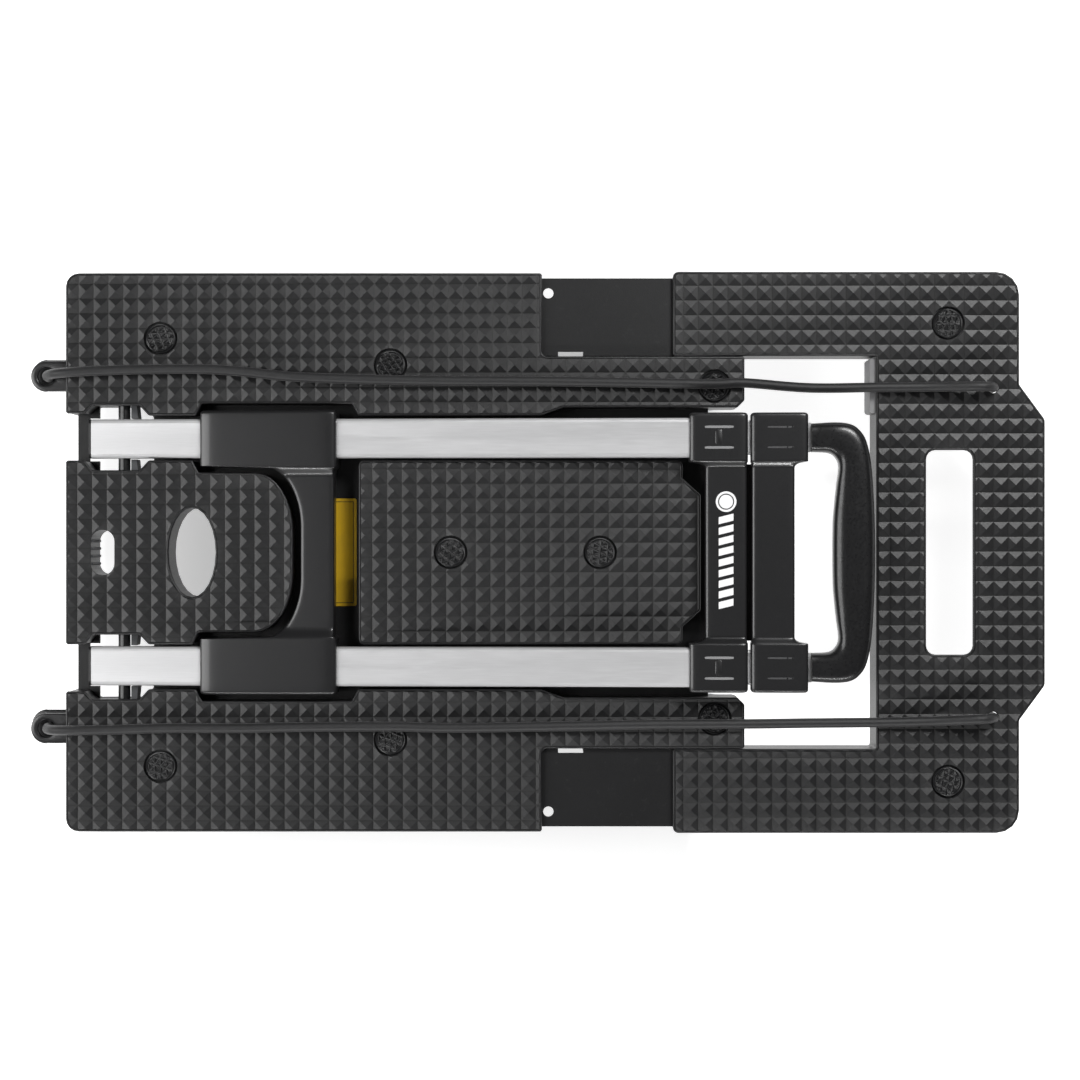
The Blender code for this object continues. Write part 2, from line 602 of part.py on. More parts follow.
# ---------------------------------------------------------------- front extension
def build_extension():
    corners = mirrored([
        (NOSE_X1, NOSE_HALF, 6 * MM),
        (BAR_X1, SHOULDER_HALF, 4 * MM),
        (BAR_X1, ARM_OUT, FRONT_CORNER_R),
        (ARM_X0, ARM_OUT, 3.5 * MM),
        (ARM_X0, ARM_IN, 1 * MM),
        (BAR_X0, ARM_IN, 1.5 * MM),
    ])
    deck = plate("extension_deck", [rounded(corners)], DECK_Z0, DECK_Z1)
    under = DECK_Z0 - OVERCUT
    roof = DECK_Z1 - TOP_T
    combine(deck, [plate("pocket", [rounded(inset(corners, WALL))], under, roof)], "DIFFERENCE")
    add = []
    for _, sign in SIDES:
        across = sorted((sign * ARM_IN, sign * TONGUE_OUT))
        tongue = box("tongue", TONGUE_X0, ARM_X0 + WALL / 2, *across, TONGUE_Z0, TONGUE_Z1)
        inner = sorted((sign * (ARM_IN + TONGUE_WALL), sign * (TONGUE_OUT - TONGUE_WALL)))
        hollow = box("hollow", TONGUE_X0 - OVERCUT, ARM_X0 + WALL, *inner, under, TONGUE_Z1 - TONGUE_TOP_T)
        combine(tongue, [hollow], "DIFFERENCE")
        add.append(tongue)
        add.append(cylinder("boss", BOSS_R, DECK_Z0, roof + OVERCUT, (NOSE_CASTER[0], sign * NOSE_CASTER[1]),
                            segments=16))
        bar_inner = sorted((sign * 85 * MM, sign * (ARM_OUT - WALL / 2)))
        add.append(box("rib", BAR_X0 + 16 * MM, BAR_X0 + 16 * MM + RIB_T, *bar_inner, DECK_Z0 + 4 * MM,
                       roof + OVERCUT))
        arm = sorted((sign * (ARM_IN + WALL / 2), sign * (ARM_OUT - WALL / 2)))
        for x in (ARM_X0 + 45 * MM, ARM_X0 + 95 * MM):
            add.append(box("rib", x - RIB_T / 2, x + RIB_T / 2, *arm, DECK_Z0 + 4 * MM, roof + OVERCUT))
    combine(deck, add, "UNION")
    slot_x0 = BAR_X0 + HAND_SLOT_X0
    slot = box_outline(slot_x0, slot_x0 + HAND_SLOT_L, -HAND_SLOT_HALF, HAND_SLOT_HALF, HAND_SLOT_R)
    cut = [plate("hand_slot", [slot], under, DECK_Z1 + OVERCUT)]
    for _, sign in SIDES:
        cut.append(cylinder("rope_hole", ROPE_HOLE_R, roof - OVERCUT, DECK_Z1 + OVERCUT,
                            (BAR_X0 + ROPE_HOLE_X, sign * ROPE_HOLE_Y), segments=20))
        cut.append(cylinder("recess", PLUG_RECESS_R, DECK_Z1 - PLUG_DEPTH, DECK_Z1 + OVERCUT,
                            (NOSE_CASTER[0], sign * NOSE_CASTER[1])))
        for x in (LOCK_X, LOCK_X + STROKE):
            cut.append(cylinder("lock_hole", LOCK_HOLE_R, TONGUE_Z1 - TONGUE_TOP_T - OVERCUT,
                                TONGUE_Z1 + OVERCUT, (x, sign * LOCK_Y), segments=20))
        notch = sorted((sign * (ARM_IN - OVERCUT), sign * (ARM_IN + 3.0 * MM)))
        cut.append(box("notch", STEP_X + 12 * MM, STEP_X + 30 * MM, *notch, under, TONGUE_Z1 + OVERCUT))
    combine(deck, cut, "DIFFERENCE")
    add_material(deck, BLACK_PLASTIC)
    return deck


def build_guides_and_locks():
    pin_top = TONGUE_Z1 - TONGUE_TOP_T - SLIDE_FIT
    knob_z1 = DECK_Z0 + GUIDE_LIFT - LOCK_TRAVEL - SLIDE_FIT
    for name, sign in SIDES:
        across = sorted((sign * (STRIP_OUT + 0.4 * MM + FIT), sign * (SIDE_Y - WALL - FIT)))
        guide = box("guide_plate_" + name, TONGUE_X0 - STROKE - 2 * MM, STEP_X - 2 * MM, *across,
                    DECK_Z0 + GUIDE_LIFT, DECK_Z0 + GUIDE_LIFT + GUIDE_T)
        hole = cylinder("hole", LOCK_PIN_R + FIT, DECK_Z0 - OVERCUT, DECK_Z0 + GUIDE_T + 2 * OVERCUT,
                        (LOCK_X, sign * LOCK_Y), segments=24)
        combine(guide, [hole], "DIFFERENCE")
        add_material(guide, BLACK_PLASTIC)
        pin = cylinder("lock_pin_" + name, LOCK_KNOB_R, knob_z1 - LOCK_KNOB_H, knob_z1, (LOCK_X, sign * LOCK_Y),
                       segments=20)
        soften(pin, 0.8 * MM, 1)
        combine(pin, [cylinder("shank", LOCK_PIN_R, knob_z1 - OVERCUT, pin_top, (LOCK_X, sign * LOCK_Y),
                               segments=24)], "UNION")
        add_material(pin, GREY_RUBBER)


def build_buffer():
    outline = rounded([
        (BAR_X0 - FIT - BUFFER_T, STRIP_OUT - 1 * MM - BUFFER_L, 2 * MM),
        (BAR_X0 - FIT, STRIP_OUT - 1 * MM - BUFFER_L, 0),
        (BAR_X0 - FIT, STRIP_OUT - 1 * MM, 0),
        (BAR_X0 - FIT - BUFFER_T, STRIP_OUT - 1 * MM, 1 * MM),
    ])
    plate("edge_buffer", [outline], DECK_Z1 - 3 * MM - BUFFER_H, DECK_Z1 - 3 * MM, GREY_RUBBER)


def build_plugs():
    places = [(x, sign * y) for x, y in DECK_PLUGS + [NOSE_CASTER] for _, sign in SIDES] + ISLAND_PLUGS
    for number, place in enumerate(places, 1):
        plug = cylinder("plug_%d" % number, PLUG_R, DECK_Z1 - PLUG_DEPTH + FIT, DECK_Z1, place, BLACK_PLASTIC)
        shade(plug)


# ---------------------------------------------------------------- handle
def build_handle(pivot):
    def hang(piece, material):
        add_material(piece, material)
        piece.parent = pivot

    for name, sign in SIDES:
        y = sign * TUBE_Y
        outer = along_x("outer_tube_" + name, -OUTER_TAIL, OUTER_LENGTH, y, OUTER_SECTION,
                        grown(OUTER_SECTION, -TUBE_WALL))
        across = Matrix.Translation((0, y, 0)) @ Matrix.Rotation(math.radians(90), 4, "X")
        pin_hole = cylinder("pin_hole", PIVOT_R + FIT, -TUBE_W, TUBE_W, segments=16, turn=across)
        combine(outer, [pin_hole], "DIFFERENCE")
        hang(outer, ALUMINIUM)
        cap = along_x("tube_cap_" + name, -OUTER_TAIL - FIT - CAP_T, -OUTER_TAIL - FIT, y, OUTER_SECTION)
        plug = along_x("cap_plug", -OUTER_TAIL - FIT - CAP_T / 2, -OUTER_TAIL + 6 * MM, y,
                       grown(OUTER_SECTION, -TUBE_WALL - FIT))
        combine(cap, [plug], "UNION")
        hang(cap, BLACK_PLASTIC)
        middle = along_x("middle_tube_" + name, MIDDLE_TAIL_X, UPPER_X1 - COLLAR_LIP - FIT, y, MIDDLE_SECTION,
                         grown(MIDDLE_SECTION, -TUBE_WALL))
        hang(middle, ALUMINIUM)
        inner = along_x("inner_tube_" + name, INNER_TAIL_X, GRIP_X0 - FIT, y, INNER_SECTION,
                        grown(INNER_SECTION, -TUBE_WALL))
        hang(inner, ALUMINIUM)

    sleeve_out = TUBE_OUT + SLEEVE_SIDE
    sleeve_in = TUBE_IN - SLEEVE_SIDE
    sleeve_x1 = SLEEVE_X0 + SLEEVE_L
    bar_x0 = sleeve_x1 - LOWER_BAR_L
    arc = ellipse_arc(bar_x0 - FILLET_X, sleeve_in - FILLET_Y, FILLET_X, FILLET_Y, 90, 0)
    half = arc[::-1] + [(bar_x0 - FILLET_X, sleeve_in + 3 * MM), (sleeve_x1 - 2 * MM, sleeve_in + 3 * MM),
                        (sleeve_x1 - 2 * MM, 0.0)]
    bar_half = [p for p in half if p[1] > 0.5 * MM or p is half[-1]]
    web = bar_half[:-1] + [(p[0], -p[1]) for p in reversed(bar_half[:-1])]
    lower = plate("lower_bracket", [web], -LOWER_BAR_H / 2, LOWER_BAR_H / 2)
    soften(lower, 2 * MM, 2, 60)
    sleeves = []
    for _, sign in SIDES:
        across = sorted((sign * sleeve_in, sign * sleeve_out))
        sleeve = box("sleeve", SLEEVE_X0, sleeve_x1, *across, -SLEEVE_H / 2, SLEEVE_H / 2)
        sleeves.append(soften(sleeve, 2.5 * MM))
    combine(lower, sleeves, "UNION")
    holes = [along_x("hole", SLEEVE_X0 - OVERCUT, sleeve_x1 + OVERCUT, sign * TUBE_Y, grown(OUTER_SECTION, FIT))
             for _, sign in SIDES]
    combine(lower, holes, "DIFFERENCE")
    hang(lower, BLACK_PLASTIC)

    collar_out = TUBE_OUT + COLLAR_SIDE
    collar_in = TUBE_IN - COLLAR_SIDE

    def collared(name, x0, x1, bar_x0, bar_x1, height, bar_height, big, small):
        """A bridge with a collar at each end; each collar steps down from a big opening to a small one."""
        bracket = soften(box(name, bar_x0, bar_x1, -collar_in - 3 * MM, collar_in + 3 * MM, -bar_height / 2,
                             bar_height / 2), 2 * MM)
        collars = []
        for _, sign in SIDES:
            across = sorted((sign * collar_in, sign * collar_out))
            collars.append(soften(box("collar", x0, x1, *across, -height / 2, height / 2), 2.2 * MM))
        combine(bracket, collars, "UNION")
        cut = []
        for _, sign in SIDES:
            cut.append(along_x("hole", x0 - OVERCUT, x1 - COLLAR_LIP, sign * TUBE_Y, grown(big, FIT)))
            cut.append(along_x("hole", x0, x1 + OVERCUT, sign * TUBE_Y, grown(small, FIT)))
        combine(bracket, cut, "DIFFERENCE")
        hang(bracket, BLACK_PLASTIC)
        return bracket

    collared("middle_bracket", MIDDLE_X0, MIDDLE_X1, MIDDLE_X1 - MIDDLE_BAR_L - 0.8 * MM, MIDDLE_X1 - 0.8 * MM,
             COLLAR_H, MIDDLE_BAR_H, OUTER_SECTION, MIDDLE_SECTION)
    collared("upper_bracket", UPPER_X0, UPPER_X1, UPPER_X0 + 0.8 * MM, UPPER_X0 + 0.8 * MM + UPPER_BAR_L,
             UPPER_H, MIDDLE_BAR_H, MIDDLE_SECTION, INNER_SECTION)

    leg_out = TUBE_Y + INNER_SECTION[0] / 2
    leg_in = TUBE_Y - INNER_SECTION[0] / 2
    bar_in = GRIP_X1 - 4 * MM - GRIP_BAR_T
    grip_outer = [
        (GRIP_X1, 14 * MM, 40 * MM),
        (GRIP_X1 - 4 * MM, leg_out - 26 * MM, 30 * MM),
        (GRIP_X1 - 13 * MM, leg_out, 16 * MM),
        (GRIP_X0, leg_out, 1 * MM),
        (GRIP_X0, leg_in, 1 * MM),
        (bar_in, leg_in, 9 * MM),
        (bar_in, leg_in - 28 * MM, 30 * MM),
        (bar_in - GRIP_BULGE, 20 * MM, 30 * MM),
    ]
    grip = plate("grip", [rounded(mirrored(grip_outer), 5)], -GRIP_H / 2, GRIP_H / 2)
    soften(grip, 5 * MM, 2, 60)
    spigots = [along_x("spigot", GRIP_X0 - GRIP_SPIGOT_L, GRIP_X0 + 4 * MM, sign * TUBE_Y,
                       grown(INNER_SECTION, -TUBE_WALL - FIT)) for _, sign in SIDES]
    combine(grip, spigots, "UNION")
    button_x = GRIP_X1 - GRIP_BAR_T / 2 - 4 * MM
    half_l = BUTTON_L / 2
    half_w = BUTTON_W / 2
    pocket = plate("pocket", [box_outline(button_x - half_l - FIT, button_x + half_l + FIT, -half_w - FIT,
                                          half_w + FIT, 4 * MM)],
                   -GRIP_H / 2 - OVERCUT, -GRIP_H / 2 + BUTTON_DEPTH + BUTTON_TRAVEL + FIT)
    combine(grip, [pocket], "DIFFERENCE")
    hang(grip, GRIP_PLASTIC)
    button_outline = box_outline(button_x - half_l, button_x + half_l, -half_w, half_w, 3.7 * MM)
    button = plate("grip_button", [button_outline],
                   -GRIP_H / 2 - BUTTON_PROUD, -GRIP_H / 2 + BUTTON_DEPTH)
    hang(button, GREY_RUBBER)


def build_pivot_pins():
    for name, sign in SIDES:
        span = sorted((sign * (NOTCH_Y0 - WALL - 2 * MM), sign * (NOTCH_Y1 + WALL + 2 * MM)))
        turn = about_pivot()
        pin = cylinder("pivot_pin_" + name, PIVOT_R, *span, segments=24, turn=turn)
        add_material(pin, BLACK_PLASTIC)


# ---------------------------------------------------------------- wheels
def wheel_mesh():
    """A turned wheel: bore, recessed web, and a tread with rounded shoulders."""
    r = WHEEL_D / 2
    w = WHEEL_W / 2
    bore = AXLE_R + 0.4 * MM
    shoulder = 4 * MM
    profile = [(bore, w), (bore + 4 * MM, w), (bore + 5 * MM, w - 3 * MM), (r - 9 * MM, w - 3 * MM)]
    for k in range(3):
        turn = math.radians(90 * k / 2)
        across = w - 0.4 * MM - shoulder + shoulder * math.cos(turn)
        profile.append((r - shoulder + shoulder * math.sin(turn), across))
    profile = profile + [(radius, -height) for radius, height in reversed(profile)]
    mesh = bpy.data.meshes.new("wheel_profile")
    count = len(profile)
    ring = [(i, (i + 1) % count) for i in range(count)]
    mesh.from_pydata([(radius, 0, height) for radius, height in profile], ring,
                     [])
    rim = bpy.data.objects.new("wheel_profile", mesh)
    CUTTERS.objects.link(rim)
    turn = rim.modifiers.new("turned", "SCREW")
    turn.angle = 2 * math.pi
    turn.steps = 24
    turn.render_steps = 24
    turn.use_merge_vertices = True
    turn.merge_threshold = 0.00001
    turned = evaluated_mesh(rim)
    remove_object(rim)
    weld(turned)
    turned.transform(Matrix.Rotation(math.radians(90), 4, "X"))
    turned.name = "wheel"
    turned.materials.append(GREY_RUBBER)
    turned.shade_smooth()
    turned.set_sharp_from_angle(angle=math.radians(35))
    return turned


def leg(name, top_half, head_z, trail, y0, y1, head_x=0.0):
    """One leg of a fork, a flat plate that narrows from the head to the axle."""
    centre_z = WHEEL_D / 2
    radius = 7 * MM
    points = [(head_x + top_half, head_z), (head_x - top_half, head_z)]
    lean = 25
    points += [(-trail + radius * math.cos(math.radians(a)), centre_z + radius * math.sin(math.radians(a)))
               for a in range(180 - lean, 361 + lean, 46)]
    turn = Matrix(((1, 0, 0, 0), (0, 0, 1, 0), (0, 1, 0, 0), (0, 0, 0, 1)))
    return plate(name, [points], y0, y1, turn=turn)


def axle_cutter(radius, trail, half):
    across = Matrix.Translation((-trail, 0, WHEEL_D / 2)) @ Matrix.Rotation(math.radians(90), 4, "X")
    return cylinder("axle_hole", radius, -half, half, segments=24, turn=across)


LEG_Y0 = WHEEL_W / 2 + 1.2 * MM
LEG_Y1 = LEG_Y0 + FORK_LEG_T
AXLE_HALF = LEG_Y1 + 1.8 * MM


def swivel_meshes():
    """Meshes of one swivel caster about its own upright axis: plate with race, fork, and axle."""
    race_z0 = DECK_Z0 - FIT - CASTER_PLATE_T - RACE_T
    mount = plate("mount", [box_outline(-CASTER_PLATE_L / 2, CASTER_PLATE_L / 2, -CASTER_PLATE_W / 2,
                                        CASTER_PLATE_W / 2, 5 * MM)],
                  DECK_Z0 - FIT - CASTER_PLATE_T, DECK_Z0 - FIT)
    combine(mount, [cylinder("race", RACE_R, race_z0, DECK_Z0 - FIT - CASTER_PLATE_T / 2)], "UNION")
    head_z1 = race_z0 - FIT
    head_z0 = head_z1 - FORK_HEAD_T
    fork = cylinder("fork", FORK_HEAD_R, head_z0, head_z1)
    legs = [leg("leg", 9.5 * MM, head_z0 + FORK_HEAD_T / 2, CASTER_TRAIL, LEG_Y0, LEG_Y1, -2 * MM),
            leg("leg", 9.5 * MM, head_z0 + FORK_HEAD_T / 2, CASTER_TRAIL, -LEG_Y1, -LEG_Y0, -2 * MM)]
    combine(fork, legs, "UNION")
    combine(fork, [axle_cutter(AXLE_R + FIT, CASTER_TRAIL, 2 * AXLE_HALF)], "DIFFERENCE")
    axle = axle_cutter(AXLE_R, CASTER_TRAIL, AXLE_HALF)
    meshes = []
    for piece in (mount, fork, axle):
        add_material(piece, STEEL)
        meshes.append(piece.data)
        remove_object(piece)
    return meshes


def rear_meshes():
    mount = plate("mount", [box_outline(-22 * MM, 22 * MM, -LEG_Y1 - 3 * MM, LEG_Y1 + 3 * MM, 5 * MM)],
                  DECK_Z0 - FIT - CASTER_PLATE_T, DECK_Z0 - FIT)
    top = DECK_Z0 - FIT - CASTER_PLATE_T / 2
    legs = [leg("leg", 18 * MM, top, 0.0, LEG_Y0, LEG_Y1), leg("leg", 18 * MM, top, 0.0, -LEG_Y1, -LEG_Y0)]
    combine(mount, legs, "UNION")
    combine(mount, [axle_cutter(AXLE_R + FIT, 0.0, 2 * AXLE_HALF)], "DIFFERENCE")
    axle = axle_cutter(AXLE_R, 0.0, AXLE_HALF)
    meshes = []
    for piece in (mount, axle):
        add_material(piece, STEEL)
        meshes.append(piece.data)
        remove_object(piece)
    return meshes


def build_wheels():
    wheel = wheel_mesh()
    mount, fork, axle = swivel_meshes()
    for label, (x, y) in (("deck", DECK_CASTER), ("nose", NOSE_CASTER)):
        for name, sign in SIDES:
            place = (x, sign * y, 0)
            for part, mesh in (("mount", mount), ("fork", fork), ("axle", axle)):
                piece = bpy.data.objects.new("%s_caster_%s_%s" % (label, part, name), mesh)
                piece.location = place
                CART.objects.link(piece)
            piece = bpy.data.objects.new("%s_wheel_%s" % (label, name), wheel)
            piece.location = (x - CASTER_TRAIL, sign * y, WHEEL_D / 2)
            CART.objects.link(piece)
    bracket, axle = rear_meshes()
    for name, sign in SIDES:
        x, y = REAR_CASTER
        for part, mesh in (("bracket", bracket), ("axle", axle)):
            piece = bpy.data.objects.new("rear_wheel_%s_%s" % (part, name), mesh)
            piece.location = (x, sign * y, 0)
            CART.objects.link(piece)
        piece = bpy.data.objects.new("rear_wheel_" + name, wheel)
        piece.location = (x, sign * y, WHEEL_D / 2)
        CART.objects.link(piece)


# ---------------------------------------------------------------- ropes, hooks, label
ROPE_Z = DECK_Z1 + 1.5 * MM + ROPE_D / 2
ROPE_ROUTES = {
    # from the hole in the extension to the ring of the hook, in millimetres, height above the deck's top
    "left": [(313.3, 118.0, -9.0), (313.3, 118.0, -2.0), (312.6, 118.0, 5.0), (308.5, 118.0, 10.5),
             (301.0, 118.0, 12.6), (288.0, 118.0, 10.4), (268.0, 118.0, 6.6), (231.0, 117.8, 5.0),
             (181.0, 117.4, 5.0), (135.0, 120.9, 5.0), (111.0, 120.3, 5.0), (48.0, 121.3, 5.0), (-15.0, 122.2, 5.0),
             (-99.0, 122.8, 5.0), (-180.0, 125.0, 5.0), (-224.0, 129.1, 5.0), (-250.0, 130.7, 5.0),
             (-293.0, 130.6, 5.0), (-321.0, 129.8, 5.2), (-341.0, 128.8, 6.4), (-355.5, 127.8, 5.2),
             (-363.1, 127.0, -1.0), (-365.6, 126.6, -9.0), (-366.0, 126.5, -17.0)],
    "right": [(313.3, -118.0, -9.0), (313.3, -118.0, -2.0), (312.6, -118.0, 5.0), (308.5, -118.1, 10.5),
              (301.0, -118.4, 12.6), (288.0, -119.2, 10.4), (268.0, -120.3, 6.6), (231.0, -121.2, 5.0),
              (181.0, -121.7, 5.0), (135.0, -122.3, 5.0), (69.0, -122.7, 5.0), (6.0, -123.9, 5.0),
              (-70.0, -125.1, 5.0), (-120.0, -124.2, 5.0), (-183.0, -124.6, 5.0), (-224.0, -125.4, 5.0),
              (-276.0, -125.4, 5.0), (-321.0, -126.6, 5.2), (-341.0, -126.8, 6.4), (-355.5, -126.8, 5.2),
              (-363.1, -126.7, -1.0), (-365.6, -126.5, -9.0), (-366.0, -126.5, -17.0)],
}


def smooth_route(route, spacing):
    """Points at an even spacing along a smooth curve through a route's own points."""
    points = [Vector(p) * MM for p in route]
    points = [points[0] * 2 - points[1]] + points + [points[-1] * 2 - points[-2]]
    fine = []
    for a, b, c, d in zip(points, points[1:], points[2:], points[3:]):
        for k in range(12):
            t = k / 12
            fine.append(0.5 * (2 * b + (c - a) * t + (2 * a - 5 * b + 4 * c - d) * t ** 2
                               + (3 * b - a - 3 * c + d) * t ** 3))
    fine.append(points[-2])
    even = [fine[0]]
    walked = 0.0
    for p, q in zip(fine, fine[1:]):
        walked += (q - p).length
        off_deck = abs(q.z - ROPE_Z) > 0.3 * MM
        if walked >= spacing * (0.2 if off_deck else 1.0):
            even.append(q)
            walked = 0.0
    if (fine[-1] - even[-1]).length < spacing * 0.12:
        even.pop()
    even.append(fine[-1])
    return even


def build_ropes():
    for name, sign in SIDES:
        route = [(x, y, z + DECK_Z1 / MM) for x, y, z in ROPE_ROUTES[name]]
        points = smooth_route(route, 20 * MM)
        curve = bpy.data.curves.new("rope_" + name, "CURVE")
        curve.dimensions = "3D"
        curve.bevel_depth = ROPE_D / 2
        curve.bevel_resolution = 2
        curve.use_fill_caps = True
        spline = curve.splines.new("POLY")
        spline.points.add(len(points) - 1)
        for point, place in zip(spline.points, points):
            point.co = (*place, 1)
        curve.materials.append(ROPE_CLOTH)
        CART.objects.link(bpy.data.objects.new("rope_" + name, curve))

        z = DECK_Z1 - HOOK_DROP
        ring_x = DECK_X0 - HOOK_X
        y = sign * HOOK_Y
        hook = cylinder("rope_hook_" + name, HOOK_R, z - HOOK_T / 2, z + HOOK_T / 2, (ring_x, y), segments=32)
        tab = box("tab", ring_x + 5 * MM, DECK_X0 + HOOK_TAB_IN, y - HOOK_TAB_W / 2, y + HOOK_TAB_W / 2,
                  z - HOOK_T / 2, z + HOOK_T / 2)
        barb = box("barb", DECK_X0 + WALL + FIT + 0.5 * MM, DECK_X0 + HOOK_TAB_IN, y - HOOK_TAB_W / 2,
                   y + HOOK_TAB_W / 2, z - 3 * HOOK_T / 2, z - HOOK_T / 4)
        combine(hook, [tab, barb], "UNION")
        combine(hook, [cylinder("hole", HOOK_HOLE_R, z - HOOK_T, z + HOOK_T, (ring_x, y), segments=24)],
                "DIFFERENCE")
        add_material(hook, BLACK_PLASTIC)


def build_label():
    outline = box_outline(LABEL_X0, LABEL_X0 + LABEL_L, -LABEL_HALF, LABEL_HALF, 1 * MM)
    plate("floor_label", [outline], FLOOR_Z + FIT, FLOOR_Z + FIT + LABEL_T, YELLOW_LABEL)


def build_cart():
    build_main_deck()
    build_extension()
    build_guides_and_locks()
    build_buffer()
    build_plugs()
    pivot = bpy.data.objects.new("handle_pivot", None)
    pivot.location = (PIVOT_X, 0, DECK_Z1 - PIVOT_DROP)
    pivot.rotation_euler = (0, -HANDLE_TILT, 0)
    CART.objects.link(pivot)
    build_handle(pivot)
    build_pivot_pins()
    build_wheels()
    build_ropes()
    build_label()


build_cart()
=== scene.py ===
"""Folding platform cart seen from straight above, with its handle folded into the deck and its front extension out.

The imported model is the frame: its nodes stay where they are and get their finishes here, and finer surfaces stand in
for its tread, plugs, brackets, grip, ropes, hooks and wheels. Sizes are in metres, +X points to the front extension
and +Z is up.
"""
import math

import bmesh
import bpy
import numpy as np
from bpy.props import FloatProperty, FloatVectorProperty, IntProperty, PointerProperty
from mathutils import Matrix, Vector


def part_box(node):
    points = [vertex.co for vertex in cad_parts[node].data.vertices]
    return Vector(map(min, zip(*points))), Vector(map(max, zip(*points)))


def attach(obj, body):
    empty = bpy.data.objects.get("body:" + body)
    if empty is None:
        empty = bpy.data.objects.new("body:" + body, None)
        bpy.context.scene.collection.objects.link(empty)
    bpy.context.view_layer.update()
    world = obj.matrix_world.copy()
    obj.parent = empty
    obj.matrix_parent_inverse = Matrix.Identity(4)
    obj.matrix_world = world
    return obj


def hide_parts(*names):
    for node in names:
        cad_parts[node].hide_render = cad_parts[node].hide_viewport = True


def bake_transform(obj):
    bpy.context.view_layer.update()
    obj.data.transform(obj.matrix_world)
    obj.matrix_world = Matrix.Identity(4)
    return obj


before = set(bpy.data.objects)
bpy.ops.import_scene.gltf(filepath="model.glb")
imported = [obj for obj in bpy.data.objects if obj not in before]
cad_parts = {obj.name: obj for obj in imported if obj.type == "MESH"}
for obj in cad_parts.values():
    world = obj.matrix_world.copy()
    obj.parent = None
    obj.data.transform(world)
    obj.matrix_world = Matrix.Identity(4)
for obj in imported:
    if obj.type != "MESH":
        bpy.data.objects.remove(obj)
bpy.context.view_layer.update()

bl_info = {
    "name": "Folding platform cart",
    "version": (1, 0, 0),
    "blender": (4, 5, 0),
    "location": "3D View > Sidebar > Cart",
    "description": "Treads, plugs, brackets, grip, ropes, wheels and finishes of a folding platform cart",
    "category": "Object",
}

MM = 0.001
SIDES = (("left", 1), ("right", -1))
DECK_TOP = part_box("main_deck")[1][2]

# the handle's own frame: x runs along the folded handle from its pivot, y across, z up
PIVOT = (-310.0 * MM, 0.0, DECK_TOP - 9.0 * MM)
HANDLE_TILT = math.radians(2.75)
TUBE_Y = 81.5 * MM
# the bores that the handle's outer, middle and inner tubes pass through: width and height
OUTER_BORE, MIDDLE_BORE, INNER_BORE = (28.6 * MM, 15.6 * MM), (25.0 * MM, 12 * MM), (21.4 * MM, 8.4 * MM)
# the middle of a hook's ring, in millimetres, and a printed mark's middle line and ink thickness
HOOK_X, HOOK_Y = -366.0, 126.5
MARK_X, INK = 431.4, 0.14
# an outline shorter than this is a plug's recess and gets no rim
SHORT_OUTLINE = 100 * MM


def linear(code):
    """sRGB hex such as #2B2C2D to linear red, green and blue: the standard sRGB curve."""
    values = [int(code[i:i + 2], 16) / 255 for i in (1, 3, 5)]
    return tuple(v / 12.92 if v <= 0.04045 else ((v + 0.055) / 1.055) ** 2.4 for v in values)


# ---------------------------------------------------------------- what a user would change
def length(name, description, default, low=0.0, high=1.0):
    """A length in metres that the sidebar shows."""
    return FloatProperty(name=name, description=description, default=default, min=low, max=high, unit="LENGTH",
                         precision=4)


def colour(name, description, code):
    """A linear colour whose default is an sRGB hex value."""
    return FloatVectorProperty(name=name, description=description, default=linear(code), size=3, min=0.0, max=1.0,
                               subtype="COLOR")


class CartSizes(bpy.types.PropertyGroup):
    """Sizes of the cart's fine shapes."""
    tread_pitch: length("Tread pitch", "From one pyramid of the tread to the next", 10.57 * MM)
    tread_height: length("Tread height", "From the deck's top to a pyramid's tip", 1.35 * MM)
    tread_margin: length("Tread margin", "Plain border between an edge and the tread", 1.5 * MM)
    rim_reach: length("Rim reach", "How far an edge's rounding reaches onto the top", 1.4 * MM)
    knurl_pitch: length("Knurl pitch", "Between two ridges of a plug's crosshatch", 4.5 * MM)
    rope_diameter: length("Rope diameter", "Across the braided rope", 7.0 * MM)
    braid_strands: IntProperty(name="Braid strands", description="Strands each way round the rope", default=10, min=4)
    grip_height: length("Grip height", "Through the grip from top to underside", 22.0 * MM)
    wheel_radius: length("Wheel radius", "From the axle to the tread of a wheel", 25.0 * MM)
    wheel_width: length("Wheel width", "Across a wheel's tyre", 18.0 * MM)


class CartColours(bpy.types.PropertyGroup):
    """Colours of the cart's finishes."""
    polypropylene: colour("Polypropylene", "Moulded deck", "#161617")
    nylon: colour("Nylon", "Handle brackets", "#1E1E1F")
    grip_nylon: colour("Grip nylon", "Glossy grip", "#151516")
    aluminium: colour("Aluminium", "Anodised handle tubes", "#D3D3D4")
    zinc: colour("Zinc", "Plated caster steel", "#B9BCBF")
    tyre: colour("Tyre", "Wheel treads", "#4A4B4D")
    grey_rubber: colour("Grey rubber", "Buffer and buttons", "#8A8A8B")
    braid: colour("Braid", "Rope sheath", "#212122")
    label: colour("Label", "Plain yellow label", "#E0B420")
    print_white: colour("Print", "Pad-printed mark", "#F2F2F2")


def sizes():
    return bpy.context.scene.cart_sizes


def colours():
    return bpy.context.scene.cart_colours


# ---------------------------------------------------------------- shader nodes and finishes
# the window that holds most of a noise's values, for a Map Range node
MIDDLE = {"From Min": 0.3, "From Max": 0.7}


def add_node(tree, kind, inputs, out=0, **settings):
    """Adds one node and gives one of its outputs: an input is a value to set or another node's output to link."""
    new = tree.nodes.new("ShaderNode" + kind)
    for key, value in settings.items():
        setattr(new, key, value)
    for key, value in inputs.items():
        if isinstance(value, bpy.types.NodeSocket):
            tree.links.new(value, new.inputs[key])
        else:
            new.inputs[key].default_value = value
    return new.outputs[out]


